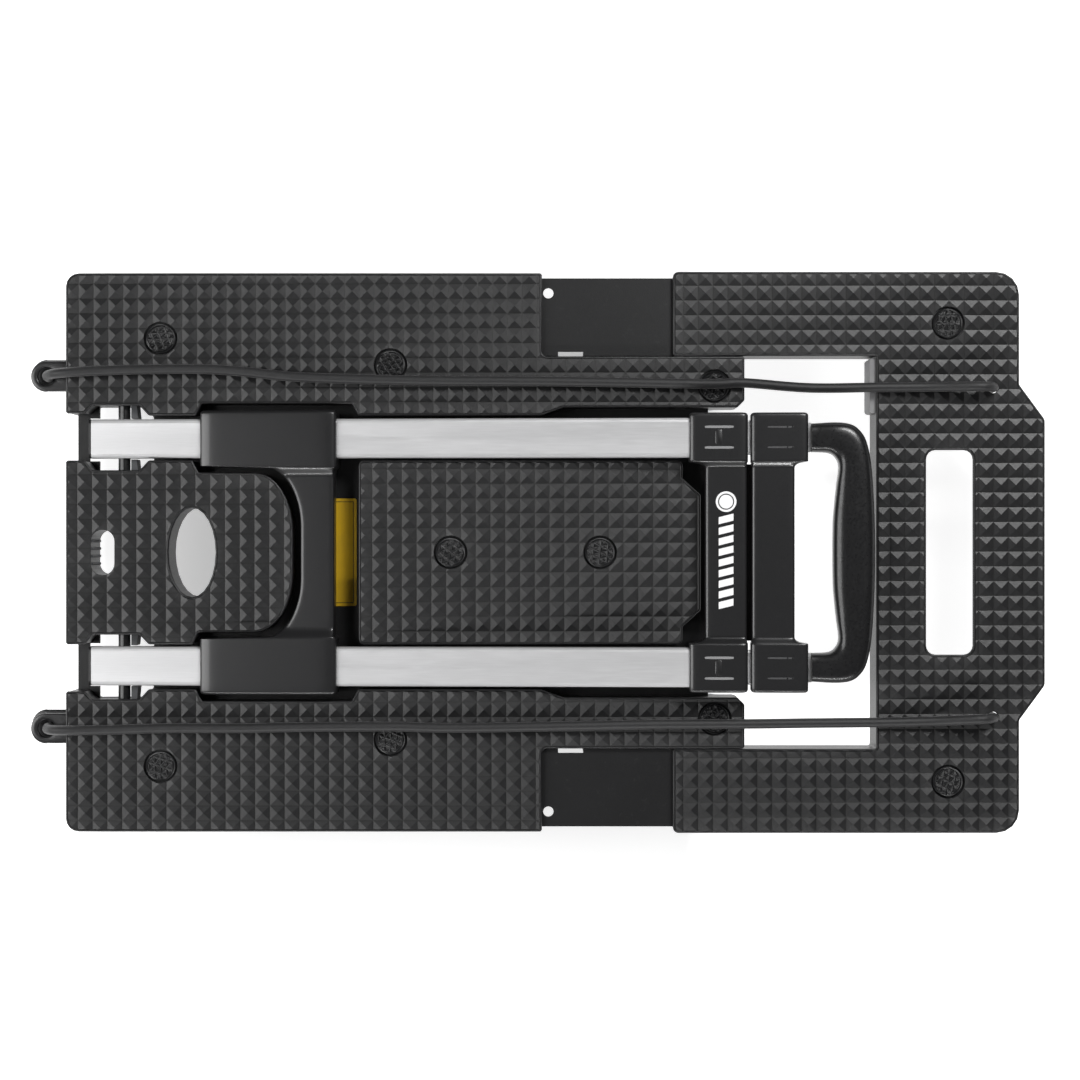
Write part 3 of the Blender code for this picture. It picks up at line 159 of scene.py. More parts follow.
def shaded(shade, factor=1.0):
    """A linear colour made paler or darker by a factor, with its alpha."""
    return (*(min(v * factor, 1.0) for v in shade), 1.0)


def start_finish(name, values):
    """An empty finish with one shader, whose uniform values are set on its own sockets."""
    material = bpy.data.materials.new(name)
    material.use_nodes = True
    tree = material.node_tree
    shader = tree.nodes["Principled BSDF"]
    for key, value in values.items():
        shader.inputs[key].default_value = value
    return material, tree, shader, add_node(tree, "TexCoord", {}, "Object")


def feed(tree, shader, base, roughness, normal):
    """Feeds the shader's colour, roughness and normal from patterns."""
    for key, source in (("Base Color", base), ("Roughness", roughness), ("Normal", normal)):
        tree.links.new(source, shader.inputs[key])


def moulded(name, shade, roughness, grain, depth, mottle=1.25, dust=0.03, coat=0.0):
    """Injection-moulded plastic: an even skin with the mould's eroded grain, faint flow marks and pale dust."""
    material, tree, shader, place = start_finish(name, {"IOR": 1.49, "Coat Weight": coat, "Coat Roughness": 0.12})
    flow = add_node(tree, "TexNoise", {"Vector": place, "Scale": 1 / (55 * MM), "Detail": 2.0, "Roughness": 0.55})
    fine = add_node(tree, "TexNoise", {"Vector": place, "Scale": 1 / grain, "Detail": 4.0, "Roughness": 0.65})
    specks = add_node(tree, "TexNoise", {"Vector": place, "Scale": 1 / (6 * MM), "Detail": 8.0, "Roughness": 0.75})
    marked = add_node(tree, "MapRange", {**MIDDLE, "Value": flow})
    base = add_node(tree, "Mix", {0: marked, 6: shaded(shade), 7: shaded(shade, mottle)}, 2, data_type="RGBA")
    dusty = add_node(tree, "MapRange", {"Value": specks, "From Min": 0.58, "From Max": 0.82, "To Max": dust})
    base = add_node(tree, "Mix", {0: dusty, 6: base, 7: shaded(linear("#999997"))}, 2, data_type="RGBA")
    dull = add_node(tree, "MapRange", {**MIDDLE, "Value": fine, "To Min": roughness - 0.07,
                                       "To Max": roughness + 0.08})
    feed(tree, shader, base, dull, add_node(tree, "Bump", {"Distance": depth, "Height": fine}))
    return material


def finish_deck():
    """Polypropylene, injection moulded: charcoal, dull, with a visible grain of about 0.8 mm from the mould."""
    return moulded("moulded_polypropylene", colours().polypropylene, 0.4, 0.8 * MM, 0.06 * MM, dust=0.05)


def finish_tread():
    """Polypropylene, injection moulded in a cut pyramid pattern: facets catch the light, tips are scuffed paler, and
    painted shade darkens the valleys.
    """
    material = moulded("moulded_polypropylene_tread", colours().polypropylene, 0.42, 0.8 * MM, 0.09 * MM, dust=0.09)
    tree = material.node_tree
    base_in = tree.nodes["Principled BSDF"].inputs["Base Color"]
    place = add_node(tree, "TexCoord", {}, "Object")
    # painted shade darkens the valleys: the first part of a pyramid's height above the deck's top is mixed towards
    # near black
    height = add_node(tree, "SeparateXYZ", {"Vector": place}, "Z")
    painted_valley_shade = add_node(tree, "MapRange", {"Value": height, "From Min": DECK_TOP + 0.05 * MM,
                                         "From Max": DECK_TOP + 0.32 * MM, "To Min": 1.0, "To Max": 0.0})
    base = add_node(tree, "Mix", {0: painted_valley_shade, 6: base_in.links[0].from_socket,
                                  7: shaded(linear("#0D0D0D"))}, 2, data_type="RGBA")
    # scuffs gather on the sharp tips and ridges
    tips = add_node(tree, "NewGeometry", {}, "Pointiness")
    tips = add_node(tree, "MapRange", {"Value": tips, "From Min": 0.5, "From Max": 0.58, "To Max": 0.16})
    patches = add_node(tree, "TexNoise", {"Vector": place, "Scale": 1 / (25 * MM), "Detail": 3.0, "Roughness": 0.55})
    patches = add_node(tree, "MapRange", {**MIDDLE, "Value": patches, "To Min": 0.3})
    worn = add_node(tree, "Math", {0: tips, 1: patches}, operation="MULTIPLY")
    scuffed = add_node(tree, "Mix", {0: worn, 6: base, 7: shaded(linear("#818181"))}, 2, data_type="RGBA")
    tree.links.new(scuffed, base_in)
    return material


def finish_nylon():
    """Glass-filled nylon, injection moulded and satin: an almost even dark grey with a fine 0.6 mm grain."""
    return moulded("satin_glass_filled_nylon", colours().nylon, 0.34, 0.6 * MM, 0.008 * MM, mottle=1.12, dust=0.02,
                   coat=0.4)


def finish_nylon_painted_highlight():
    """Glass-filled nylon, moulded: a paler grey that is painted highlight along the thin ribs of the upper collars,
    with a dry 0.5 mm grain.
    """
    return moulded("glass_filled_nylon_painted_highlight", linear("#414142"), 0.5, 0.5 * MM, 0.03 * MM, mottle=1.3, dust=0.1)


def finish_grip():
    """Nylon, injection moulded in a polished tool: near black with soft reflections and light finger marks."""
    return moulded("polished_nylon", colours().grip_nylon, 0.32, 1.6 * MM, 0.005 * MM, mottle=1.3, coat=0.15)


def finish_grey_rubber():
    """Thermoplastic rubber, moulded: mid grey, dull, and faintly mottled."""
    return moulded("moulded_grey_rubber", colours().grey_rubber, 0.62, 0.9 * MM, 0.08 * MM, mottle=0.85, dust=0.12)


def finish_tyre():
    """Thermoplastic rubber tyre, moulded: dark grey and dull, with floor dust on its tread."""
    return moulded("moulded_tyre_rubber", colours().tyre, 0.68, 1.1 * MM, 0.10 * MM, mottle=1.2, dust=0.35)


def finish_aluminium():
    """Aluminium tube, drawn and silver anodised: pale satin metal with hairlines about 0.4 mm apart along the tube.

    The hairlines are drawn 0.9 mm apart, because finer ones are too fine to show."""
    material, tree, shader, place = start_finish("silver_anodised_aluminium", {"Metallic": 0.35, "Anisotropic": 0.3})
    drawn = add_node(tree, "Mapping", {"Vector": place, "Scale": (0.02, 1.0, 1.0)})
    lines = add_node(tree, "TexNoise", {"Vector": drawn, "Scale": 1 / (0.9 * MM), "Detail": 3.0, "Roughness": 0.6})
    cloud = add_node(tree, "TexNoise", {"Vector": place, "Scale": 1 / (60 * MM), "Detail": 2.0, "Roughness": 0.55})
    shade = colours().aluminium
    base = add_node(tree, "Mix", {0: add_node(tree, "MapRange", {**MIDDLE, "Value": lines}), 6: shaded(shade, 0.94),
                                  7: shaded(shade)}, 2, data_type="RGBA")
    hazed = add_node(tree, "Mix", {0: add_node(tree, "MapRange", {**MIDDLE, "Value": cloud, "To Max": 0.12}), 6: base,
                                   7: shaded(linear("#D4D4D6"))}, 2, data_type="RGBA")
    dull = add_node(tree, "MapRange", {**MIDDLE, "Value": lines, "To Min": 0.3, "To Max": 0.42})
    feed(tree, shader, hazed, dull, add_node(tree, "Bump", {"Distance": 0.015 * MM, "Height": lines}))
    return material


def finish_zinc():
    """Steel, pressed and bright zinc plated: cool grey metal whose crystals show as 4 mm patches."""
    material, tree, shader, place = start_finish("zinc_plated_steel", {"Metallic": 1.0})
    patches = add_node(tree, "TexVoronoi", {"Vector": place, "Scale": 1 / (4 * MM)}, "Distance")
    fine = add_node(tree, "TexNoise", {"Vector": place, "Scale": 1 / (1.2 * MM), "Detail": 4.0, "Roughness": 0.55})
    shade = colours().zinc
    base = add_node(tree, "Mix", {0: patches, 6: shaded(shade, 0.82), 7: shaded(shade)}, 2, data_type="RGBA")
    dull = add_node(tree, "MapRange", {**MIDDLE, "Value": fine, "To Min": 0.3, "To Max": 0.5})
    feed(tree, shader, base, dull, add_node(tree, "Bump", {"Distance": 0.02 * MM, "Height": fine}))
    return material


def finish_braid():
    """Polyester sheath, braided over an elastic core: matt black yarns with a soft sheen and a few grey flecks."""
    material, tree, shader, place = start_finish(
        "braided_polyester", {"IOR": 1.5, "Sheen Weight": 0.25, "Sheen Roughness": 0.4})
    yarn = add_node(tree, "TexNoise", {"Vector": place, "Scale": 1 / (0.7 * MM), "Detail": 4.0, "Roughness": 0.7})
    flecks = add_node(tree, "MapRange", {"Value": yarn, "From Min": 0.35, "From Max": 0.75})
    shade = colours().braid
    base = add_node(tree, "Mix", {0: flecks, 6: shaded(shade, 0.65), 7: shaded(shade, 1.5)}, 2, data_type="RGBA")
    dull = add_node(tree, "MapRange", {**MIDDLE, "Value": yarn, "To Min": 0.42, "To Max": 0.62})
    feed(tree, shader, base, dull, add_node(tree, "Bump", {"Distance": 0.12 * MM, "Height": yarn}))
    return material


def rectangle_line(tree, place, centre, half, width):
    """1 on the outline of a rectangle and 0 elsewhere: the larger of |x| - half x and |y| - half y is near 0."""
    split = add_node(tree, "SeparateXYZ", {"Vector": place}).node.outputs
    reach = []
    for axis in (0, 1):
        moved = add_node(tree, "Math", {0: split[axis], 1: centre[axis]}, operation="SUBTRACT")
        size = add_node(tree, "Math", {0: moved}, operation="ABSOLUTE")
        reach.append(add_node(tree, "Math", {0: size, 1: half[axis]}, operation="SUBTRACT"))
    edge = add_node(tree, "Math", {0: reach[0], 1: reach[1]}, operation="MAXIMUM")
    return add_node(tree, "Math", {0: edge, 1: 0.0, 2: width / 2}, operation="COMPARE")


def finish_label():
    """Vinyl film, printed and laminated: flat yellow with a thin dark frame 2.4 mm in from its edge."""
    material, tree, shader, place = start_finish("printed_vinyl_film", {"IOR": 1.5, "Coat Weight": 0.2})
    low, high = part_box("floor_label")
    centre = [(low[i] + high[i]) / 2 for i in (0, 1)]
    half = [(high[i] - low[i]) / 2 - 2.4 * MM for i in (0, 1)]
    line = rectangle_line(tree, place, centre, half, 0.5 * MM)
    age = add_node(tree, "TexNoise", {"Vector": place, "Scale": 1 / (12 * MM), "Detail": 4.0, "Roughness": 0.55})
    dents = add_node(tree, "TexNoise", {"Vector": place, "Scale": 1 / (5 * MM), "Detail": 3.0, "Roughness": 0.55})
    shade = colours().label
    film = add_node(tree, "Mix", {0: add_node(tree, "MapRange", {**MIDDLE, "Value": age}), 6: shaded(shade),
                                  7: shaded(shade, 0.88)}, 2, data_type="RGBA")
    printed = add_node(tree, "Mix", {0: line, 6: film, 7: shaded(linear("#27241D"))}, 2, data_type="RGBA")
    dull = add_node(tree, "MapRange", {**MIDDLE, "Value": age, "To Min": 0.35, "To Max": 0.5})
    feed(tree, shader, printed, dull, add_node(tree, "Bump", {"Distance": 0.03 * MM, "Height": dents}))
    return material


def finish_print():
    """Pad-printed ink on plastic: opaque white with thin spots where the ink is worn."""
    material, tree, shader, place = start_finish("pad_printed_ink", {"IOR": 1.5})
    worn = add_node(tree, "TexNoise", {"Vector": place, "Scale": 1 / (1.6 * MM), "Detail": 5.0, "Roughness": 0.7})
    thin = add_node(tree, "MapRange", {"Value": worn, "From Min": 0.6, "From Max": 0.75, "To Max": 0.5})
    shade = colours().print_white
    ink = add_node(tree, "Mix", {0: thin, 6: shaded(shade), 7: shaded(shade, 0.6)}, 2, data_type="RGBA")
    dull = add_node(tree, "MapRange", {**MIDDLE, "Value": worn, "To Min": 0.4, "To Max": 0.6})
    feed(tree, shader, ink, dull, add_node(tree, "Bump", {"Distance": 0.02 * MM, "Height": worn}))
    return material


FINISHES = {
    "deck": finish_deck, "tread": finish_tread, "nylon": finish_nylon, "nylon_painted_highlight": finish_nylon_painted_highlight,
    "grip": finish_grip, "grey_rubber": finish_grey_rubber, "tyre": finish_tyre, "aluminium": finish_aluminium,
    "zinc": finish_zinc, "braid": finish_braid, "label": finish_label, "print": finish_print,
}
MADE = {}


def finish(name):
    """The finish of that name, made once."""
    if name not in MADE:
        MADE[name] = FINISHES[name]()
    return MADE[name]


# ---------------------------------------------------------------- meshes from arrays
def add_object(name, data):
    """Puts a mesh, curve, light or camera in the scene, at the origin."""
    new = bpy.data.objects.new(name, data)
    bpy.context.scene.collection.objects.link(new)
    return new


def loose_object(name, points, faces):
    """A mesh of computed points and faces, not yet dressed as a piece."""
    mesh = bpy.data.meshes.new(name)
    mesh.from_pydata(np.asarray(points).reshape(-1, 3).tolist(), [], [list(face) for face in faces])
    return add_object(name, mesh)


def add_piece(name, points, faces, finish_name, body, replaces=(), smooth=None):
    """Puts computed points and faces in a mesh with a finish, and lets the piece ride on a body.

    smooth is the angle in degrees below which neighbouring faces shade as one surface."""
    return dress(loose_object(name, points, faces), finish_name, body, replaces, smooth)


def dress(piece, finish_name, body, replaces=(), smooth=None):
    """Gives a finished mesh its shading, finish, slot and body."""
    cage = bmesh.new()
    cage.from_mesh(piece.data)
    bmesh.ops.remove_doubles(cage, verts=cage.verts, dist=2e-6)
    bmesh.ops.recalc_face_normals(cage, faces=cage.faces)
    if cage.calc_volume(signed=True) < 0:
        bmesh.ops.reverse_faces(cage, faces=cage.faces)
    cage.to_mesh(piece.data)
    cage.free()
    piece.data.materials.clear()
    piece.data.materials.append(finish(finish_name))
    if smooth:
        piece.data.shade_smooth()
        piece.data.set_sharp_from_angle(angle=math.radians(smooth))
    if body:
        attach(piece, body)
    if replaces:
        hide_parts(*replaces)
    return piece


def grid_faces(rows, columns, wrap_rows=False, wrap_columns=False):
    """Quads between neighbouring points of a rows by columns grid; a wrapped direction closes on itself."""
    i = np.arange(rows if wrap_rows else rows - 1)
    j = np.arange(columns if wrap_columns else columns - 1)
    a, b = np.meshgrid(i, j, indexing="ij")
    a, b = a.ravel(), b.ravel()
    a2, b2 = (a + 1) % rows, (b + 1) % columns
    return np.stack([a * columns + b, a2 * columns + b, a2 * columns + b2, a * columns + b2], axis=1)


def capped(points, wrap_rows=False):
    """Faces of a tube of rings, closed by one face at each end unless the rings close on themselves."""
    rows, columns = points.shape[:2]
    faces = [list(face) for face in grid_faces(rows, columns, wrap_rows, True)]
    if not wrap_rows:
        faces.append(list(range(columns)))
        faces.append(list(range((rows - 1) * columns, rows * columns))[::-1])
    return faces


def handle_place(points):
    """From the handle's own frame to the world: turned up by the tilt about the pivot's line across the cart."""
    points = np.asarray(points, float)
    x, y, z = points[..., 0], points[..., 1], points[..., 2]
    c, s = math.cos(HANDLE_TILT), math.sin(HANDLE_TILT)
    return np.stack([PIVOT[0] + x * c - z * s, PIVOT[1] + y, PIVOT[2] + x * s + z * c], axis=-1)


def evaluated_mesh(piece):
    bpy.context.view_layer.update()
    return bpy.data.meshes.new_from_object(piece.evaluated_get(bpy.context.evaluated_depsgraph_get()))


def combine(piece, tools, operation):
    """Cuts closed tools from a closed piece, or keeps what is inside them, and leaves plain mesh."""
    for tool in tools:
        step = piece.modifiers.new("step", "BOOLEAN")
        step.operation = operation
        step.solver = "EXACT"
        step.object = tool
        mesh = evaluated_mesh(piece)
        piece.modifiers.clear()
        piece.data = mesh
        bpy.data.objects.remove(tool)
    return piece


def prism(name, loops, low, high):
    """A flat solid between two heights from one outline and the outlines of its holes."""
    curve = bpy.data.curves.new(name, "CURVE")
    curve.dimensions = "2D"
    curve.fill_mode = "BOTH"
    curve.extrude = (high - low) / 2
    for loop in loops:
        spline = curve.splines.new("POLY")
        spline.points.add(len(loop) - 1)
        spline.points.foreach_set("co", np.pad(np.asarray(loop), ((0, 0), (0, 2)), constant_values=((0, 0), (0, 0)))
                                  .ravel())
        spline.use_cyclic_u = True
    outline = add_object(name, curve)
    mesh = evaluated_mesh(outline)
    bpy.data.objects.remove(outline)
    cage = bmesh.new()
    cage.from_mesh(mesh)
    bmesh.ops.remove_doubles(cage, verts=cage.verts, dist=1e-5)
    bmesh.ops.recalc_face_normals(cage, faces=cage.faces)
    bmesh.ops.translate(cage, vec=(0, 0, (low + high) / 2), verts=cage.verts)
    cage.to_mesh(mesh)
    cage.free()
    return add_object(name, mesh)


# ---------------------------------------------------------------- the deck's top: outlines, rims and tread
def top_outlines(node):
    """Closed outlines of a node's flat top, with the material on their left, as arrays of x and y."""
    cage = bmesh.new()
    cage.from_mesh(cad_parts[node].data)
    bmesh.ops.remove_doubles(cage, verts=cage.verts, dist=1e-6)
    top = {f for f in cage.faces if f.normal.z > 0.9 and all(abs(v.co.z - DECK_TOP) < 2e-5 for v in f.verts)}
    follow = {}
    for face in (f for f in cage.faces if f in top):
        for corner in face.loops:
            if sum(f in top for f in corner.edge.link_faces) == 1:
                follow.setdefault(corner.vert.index, []).append(corner.link_loop_next.vert.index)
    cage.verts.ensure_lookup_table()
    outlines = []
    while follow:
        first = next(iter(follow))
        walk = [first]
        here = follow[first].pop()
        if not follow[first]:
            del follow[first]
        while here != first:
            walk.append(here)
            ahead = follow[here].pop()
            if not follow[here]:
                del follow[here]
            here = ahead
        outlines.append(straightened(np.array([cage.verts[i].co[:2] for i in walk])))
    cage.free()
    return outlines


def straightened(points):
    """Drops points that lie on the straight line between their neighbours."""
    before, after = np.roll(points, 1, axis=0), np.roll(points, -1, axis=0)
    a, b = points - before, after - points
    bend = np.abs(a[:, 0] * b[:, 1] - a[:, 1] * b[:, 0]) / (np.linalg.norm(a, axis=1) * np.linalg.norm(b, axis=1))
    return points[bend > 0.004]


def offset_outline(points, distance):
    """Moves each edge to its left by a distance and meets neighbours again; an edge that turns back is dropped."""
    starts = points
    ways = np.roll(points, -1, axis=0) - points
    ways = ways / np.linalg.norm(ways, axis=1)[:, None]
    while len(starts) > 3:
        anchors = starts + np.stack([-ways[:, 1], ways[:, 0]], axis=1) * distance
        before, way_before = np.roll(anchors, 1, axis=0), np.roll(ways, 1, axis=0)
        gap = anchors - before
        cross = way_before[:, 0] * ways[:, 1] - way_before[:, 1] * ways[:, 0]
        safe = np.where(np.abs(cross) < 1e-4, 1.0, cross)
        reach = (gap[:, 0] * ways[:, 1] - gap[:, 1] * ways[:, 0]) / safe
        meets = np.where(np.abs(cross)[:, None] < 1e-4, anchors, before + way_before * reach[:, None])
        spans = ((np.roll(meets, -1, axis=0) - meets) * ways).sum(axis=1)
        if spans.min() > 0:
            return meets
        keep = np.ones(len(starts), bool)
        keep[spans.argmin()] = False
        starts, ways = starts[keep], ways[keep]
    return starts


def perimeter(points):
    return np.linalg.norm(np.roll(points, -1, axis=0) - points, axis=1).sum()


def side_way(points):
    """At each corner, the way into the material that keeps both edges the same distance away."""
    ways = np.roll(points, -1, axis=0) - points
    ways = ways / np.linalg.norm(ways, axis=1)[:, None]
    left = np.stack([-ways[:, 1], ways[:, 0]], axis=1)
    before = np.roll(left, 1, axis=0)
    share = 1.0 + (left * before).sum(axis=1)
    return (left + before) / np.maximum(share, 0.5)[:, None]


# a rim's section: how far in from the edge, and how far above the deck's top, in millimetres
RIM_SECTION = np.array([(-0.40, -2.2), (-0.40, -0.9), (-0.34, -0.45), (-0.18, -0.05), (0.10, 0.20), (0.50, 0.34),
                        (0.95, 0.33), (1.25, 0.18), (1.40, -0.10), (1.20, -2.2)]) * MM


def rim_points(outline):
    """A rounded lip along an outline: the rim's section carried round it, on the outline's side ways."""
    section = RIM_SECTION * np.array([sizes().rim_reach / (1.4 * MM), 1.0])
    inward = side_way(outline)
    ring = outline[:, None, :] + inward[:, None, :] * section[None, :, 0, None]
    height = np.broadcast_to(DECK_TOP + section[None, :, 1], ring.shape[:2])
    return np.concatenate([ring, height[..., None]], axis=-1)


def build_rims(name, outlines, body):
    """Lips along the long outlines, gathered in one piece."""
    points, faces, count = [], [], 0
    for outline in outlines:
        if perimeter(outline) < SHORT_OUTLINE:
            continue
        ring = rim_points(outline)
        quads = grid_faces(ring.shape[0], ring.shape[1], True, True) + count
        points.append(ring.reshape(-1, 3))
        faces.extend(quads.tolist())
        count += ring.shape[0] * ring.shape[1]
    return add_piece(name, np.concatenate(points), faces, "deck", body, smooth=50)


def pyramid_field(x_line, y_line, low, high):
    """Points and faces of a closed slab of square pyramids: height = tip x (1 - larger of |u|, |v|) in each cell.

    x_line and y_line are places where valleys run; the slab covers low to high and its valleys clear the deck."""
    pitch, tip = sizes().tread_pitch, sizes().tread_height
    x0 = x_line + math.floor((low[0] - x_line) / pitch) * pitch
    y0 = y_line + math.floor((low[1] - y_line) / pitch) * pitch
    columns = math.ceil((high[0] - x0) / pitch)
    rows = math.ceil((high[1] - y0) / pitch)
    valley_z, base_z = DECK_TOP + 0.03 * MM, DECK_TOP - 0.6 * MM
    gx, gy = np.meshgrid(x0 + np.arange(columns + 1) * pitch, y0 + np.arange(rows + 1) * pitch)
    corners = np.stack([gx, gy, np.full_like(gx, valley_z)], axis=-1).reshape(-1, 3)
    cx, cy = np.meshgrid(x0 + (np.arange(columns) + 0.5) * pitch, y0 + (np.arange(rows) + 0.5) * pitch)
    tips = np.stack([cx, cy, np.full_like(cx, DECK_TOP + tip)], axis=-1).reshape(-1, 3)
    floor = corners * (1, 1, 0) + (0, 0, base_z)
    points = np.concatenate([corners, tips, floor])
    cell = grid_faces(rows + 1, columns + 1)[:, ::-1]
    top = len(corners) + np.arange(rows * columns)
    faces = [np.stack([cell[:, k], cell[:, (k + 1) % 4], top], axis=1) for k in range(4)]
    below = cell[:, ::-1] + len(corners) + len(tips)
    edge = np.concatenate([np.arange(columns), columns + np.arange(rows) * (columns + 1),
                           rows * (columns + 1) + np.arange(columns, 0, -1),
                           np.arange(rows, 0, -1) * (columns + 1)])
    ahead = np.roll(edge, -1)
    drop = len(corners) + len(tips)
    walls = np.stack([edge + drop, ahead + drop, ahead, edge], axis=1)
    return points, np.concatenate(faces).tolist() + below.tolist() + walls.tolist()


def build_tread(name, outlines, body, x_line, y_line):
    """Pyramids over a deck's top, cut back to a margin from its edges and up to its plug recesses."""
    margin = sizes().tread_margin
    cut = []
    for outline in outlines:
        small = perimeter(outline) < SHORT_OUTLINE
        cut.append(offset_outline(outline, 0.25 * MM if small else margin))
    region = prism("region", cut, DECK_TOP - 0.3 * MM, DECK_TOP + 4 * MM)
    reach = np.concatenate(cut)
    points, faces = pyramid_field(x_line, y_line, reach.min(axis=0) - 2 * MM, reach.max(axis=0) + 2 * MM)
    field = loose_object(name, points, faces)
    combine(field, [region], "INTERSECT")
    return dress(field, "tread", body)


# each field of pyramids: its node, the corners its outlines' middles lie between, and the places in x and y where
# valleys run, all in millimetres
TREAD_ZONES = {
    "left_wing_tread": ("main_deck", (-400, 75), (300, 250), -87.3, 181.6),
    "right_wing_tread": ("main_deck", (-400, -250), (300, -75), -88.0, -160.0),
    "rear_island_tread": ("main_deck", (-400, -75), (-200, 75), -310.4, 45.2),
    "front_island_tread": ("main_deck", (-200, -75), (300, 75), -99.3, -35.3),
    "extension_tread": ("extension_deck", (0, -250), (500, 250), 271.2, 180.3),
}


# ---------------------------------------------------------------- plugs
def plug_points(centre, turn):
    """A disc of 11 mm radius whose top is a crosshatch of ridges inside a plain raised edge.

    Height at radius r and angle a: the larger of two ridge waves |cos(pi p / pitch)| raised to the 6th power, p being
    the distance across each set of ridges, faded out towards the edge ring by a smooth step."""
    pitch = sizes().knurl_pitch
    radii = np.concatenate([np.linspace(0.0, 9.4, 30), [9.9, 10.3, 10.6, 10.85, 11.0, 11.0]]) * MM
    angles = np.linspace(0, 2 * np.pi, 120, endpoint=False)
    r, a = np.meshgrid(radii, angles, indexing="ij")
    x, y = r * np.cos(a), r * np.sin(a)
    across = x * math.cos(turn) + y * math.sin(turn)
    along = -x * math.sin(turn) + y * math.cos(turn)
    first = np.abs(np.cos(np.pi * (across + 0.35 * along) / pitch)) ** 6
    second = np.abs(np.cos(np.pi * (across - 0.35 * along) / pitch)) ** 6
    third = np.abs(np.cos(np.pi * along / (1.15 * pitch))) ** 6
    inside = np.clip((9.6 * MM - r) / (0.8 * MM), 0, 1)
    ring = np.clip(1 - np.abs(r - 10.2 * MM) / (0.9 * MM), 0, 1)
    z = DECK_TOP - 0.9 * MM + 1.1 * MM * np.maximum(np.maximum(first, second), third) * inside + 1.0 * MM * ring
    z[-1] = DECK_TOP - 1.9 * MM
    return np.stack([centre[0] + x, centre[1] + y, z], axis=-1)


class CART_OT_tread(bpy.types.Operator):
    """Cover the deck and the extension with pyramid tread and round their edges"""
    bl_idname = "cart.tread"
    bl_label = "Tread and rims"

    def execute(self, context):
        for node, body in (("main_deck", "deck"), ("extension_deck", "extension")):
            outlines = top_outlines(node)
            for name, (owner, low, high, x_line, y_line) in TREAD_ZONES.items():
                middles = [(outline.min(axis=0) + outline.max(axis=0)) / 2 / MM for outline in outlines]
                mine = [outline for outline, middle in zip(outlines, middles)
                        if (middle > low).all() and (middle < high).all()]
                if owner == node:
                    build_tread(name, mine, body, x_line * MM, y_line * MM)
            build_rims(node + "_rims", outlines, body)
        return {"FINISHED"}


class CART_OT_plugs(bpy.types.Operator):
    """Put a knurled screw cover in each round recess of the deck"""
    bl_idname = "cart.plugs"
    bl_label = "Knurled plugs"

    def execute(self, context):
        dice = np.random.default_rng(7)
        for number in range(1, 11):
            node = "plug_%d" % number
            low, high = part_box(node)
            centre = ((low[0] + high[0]) / 2, (low[1] + high[1]) / 2)
            points = plug_points(centre, dice.uniform(0, math.pi))
            rows, columns = points.shape[:2]
            faces = grid_faces(rows, columns, False, True).tolist()
            faces.append(list(range((rows - 1) * columns, rows * columns)))
            body = "extension" if number in (7, 8) else "deck"
            add_piece("screw_cover_%d" % number, points, faces, "deck", body, [node], 30)
        return {"FINISHED"}


def upright(name, outline, low, high, finish_name):
    """A moulded upright on the deck: a plan outline in millimetres carried between two heights below the top."""
    flat = np.asarray(outline, float) * MM
    rings = np.stack([np.column_stack([flat, np.full(len(flat), DECK_TOP + z * MM)]) for z in (low, high)])
    return add_piece(name, rings, capped(rings), finish_name, "deck", smooth=40)


class CART_OT_uprights(bpy.types.Operator):
    """Mould a lug beside each bearing of the handle's axle and a row of ribs in the rear slot"""
    bl_idname = "cart.uprights"
    bl_label = "Lugs and slot ribs"

    def execute(self, context):
        for name, sign in SIDES:
            for place, inner, outer in (("outer", 96.2, 106.2), ("inner", 57.6, 66.8)):
                outline = [(-304.8, sign * inner), (-299.8, sign * inner), (-300.8, sign * outer),
                           (-304.8, sign * outer)]
                upright("axle_lug_%s_%s" % (place, name), outline, -21.0, -7.0, "tyre")
        turn = np.linspace(0, 2 * np.pi, 16, endpoint=False)
        for number, y in enumerate((-8.2, -2.7, 2.7, 8.2), 1):
            outline = np.stack([-332.4 + np.cos(turn), y + np.sin(turn)], axis=-1)
            upright("slot_rib_%d" % number, outline, -33.0, -2.0, "tyre")
        return {"FINISHED"}


# ---------------------------------------------------------------- handle
def superellipse(count, power):
    """Unit points round a rounded square: cos and sin each raised to 2 / power, with their signs."""
    turn = np.linspace(0, 2 * np.pi, count, endpoint=False)
    c, s = np.cos(turn), np.sin(turn)
    return np.stack([np.sign(c) * np.abs(c) ** (2 / power), np.sign(s) * np.abs(s) ** (2 / power)], axis=-1)


def smooth_step(value, start, end):
    t = np.clip((value - start) / (end - start), 0, 1)
    return t * t * (3 - 2 * t)


def curve_through(points, count):
    """Even points on the smooth curve through control points: Catmull-Rom pieces, respaced by their length."""
    points = np.asarray(points, float)
    ends = np.concatenate([[2 * points[0] - points[1]], points, [2 * points[-1] - points[-2]]])
    a, b, c, d = ends[:-3], ends[1:-2], ends[2:-1], ends[3:]
    t = np.linspace(0, 1, 24, endpoint=False)[None, :, None]
    a, b, c, d = (p[:, None, :] for p in (a, b, c, d))
    fine = 0.5 * (2 * b + (c - a) * t + (2 * a - 5 * b + 4 * c - d) * t ** 2 + (3 * b - a - 3 * c + d) * t ** 3)
    fine = np.concatenate([fine.reshape(-1, points.shape[1]), points[-1:]])
    walked = np.concatenate([[0.0], np.cumsum(np.linalg.norm(np.diff(fine, axis=0), axis=1))])
    even = np.linspace(0, walked[-1], count)
    return np.stack([np.interp(even, walked, fine[:, k]) for k in range(points.shape[1])], axis=-1), walked[-1]


# the grip's edges in the handle's own frame, in millimetres, from one leg's end to the middle
GRIP_OUTER = [(491.9, 91.5), (508.8, 92.3), (519.6, 90.9), (526.3, 86.0), (530.6, 78.4), (533.7, 64.0), (535.6, 40.0),
              (536.5, 14.0)]
GRIP_INNER = [(491.9, 71.1), (503.2, 70.5), (508.3, 67.6), (511.0, 60.8), (509.4, 47.0), (507.4, 27.0), (506.9, 10.0)]


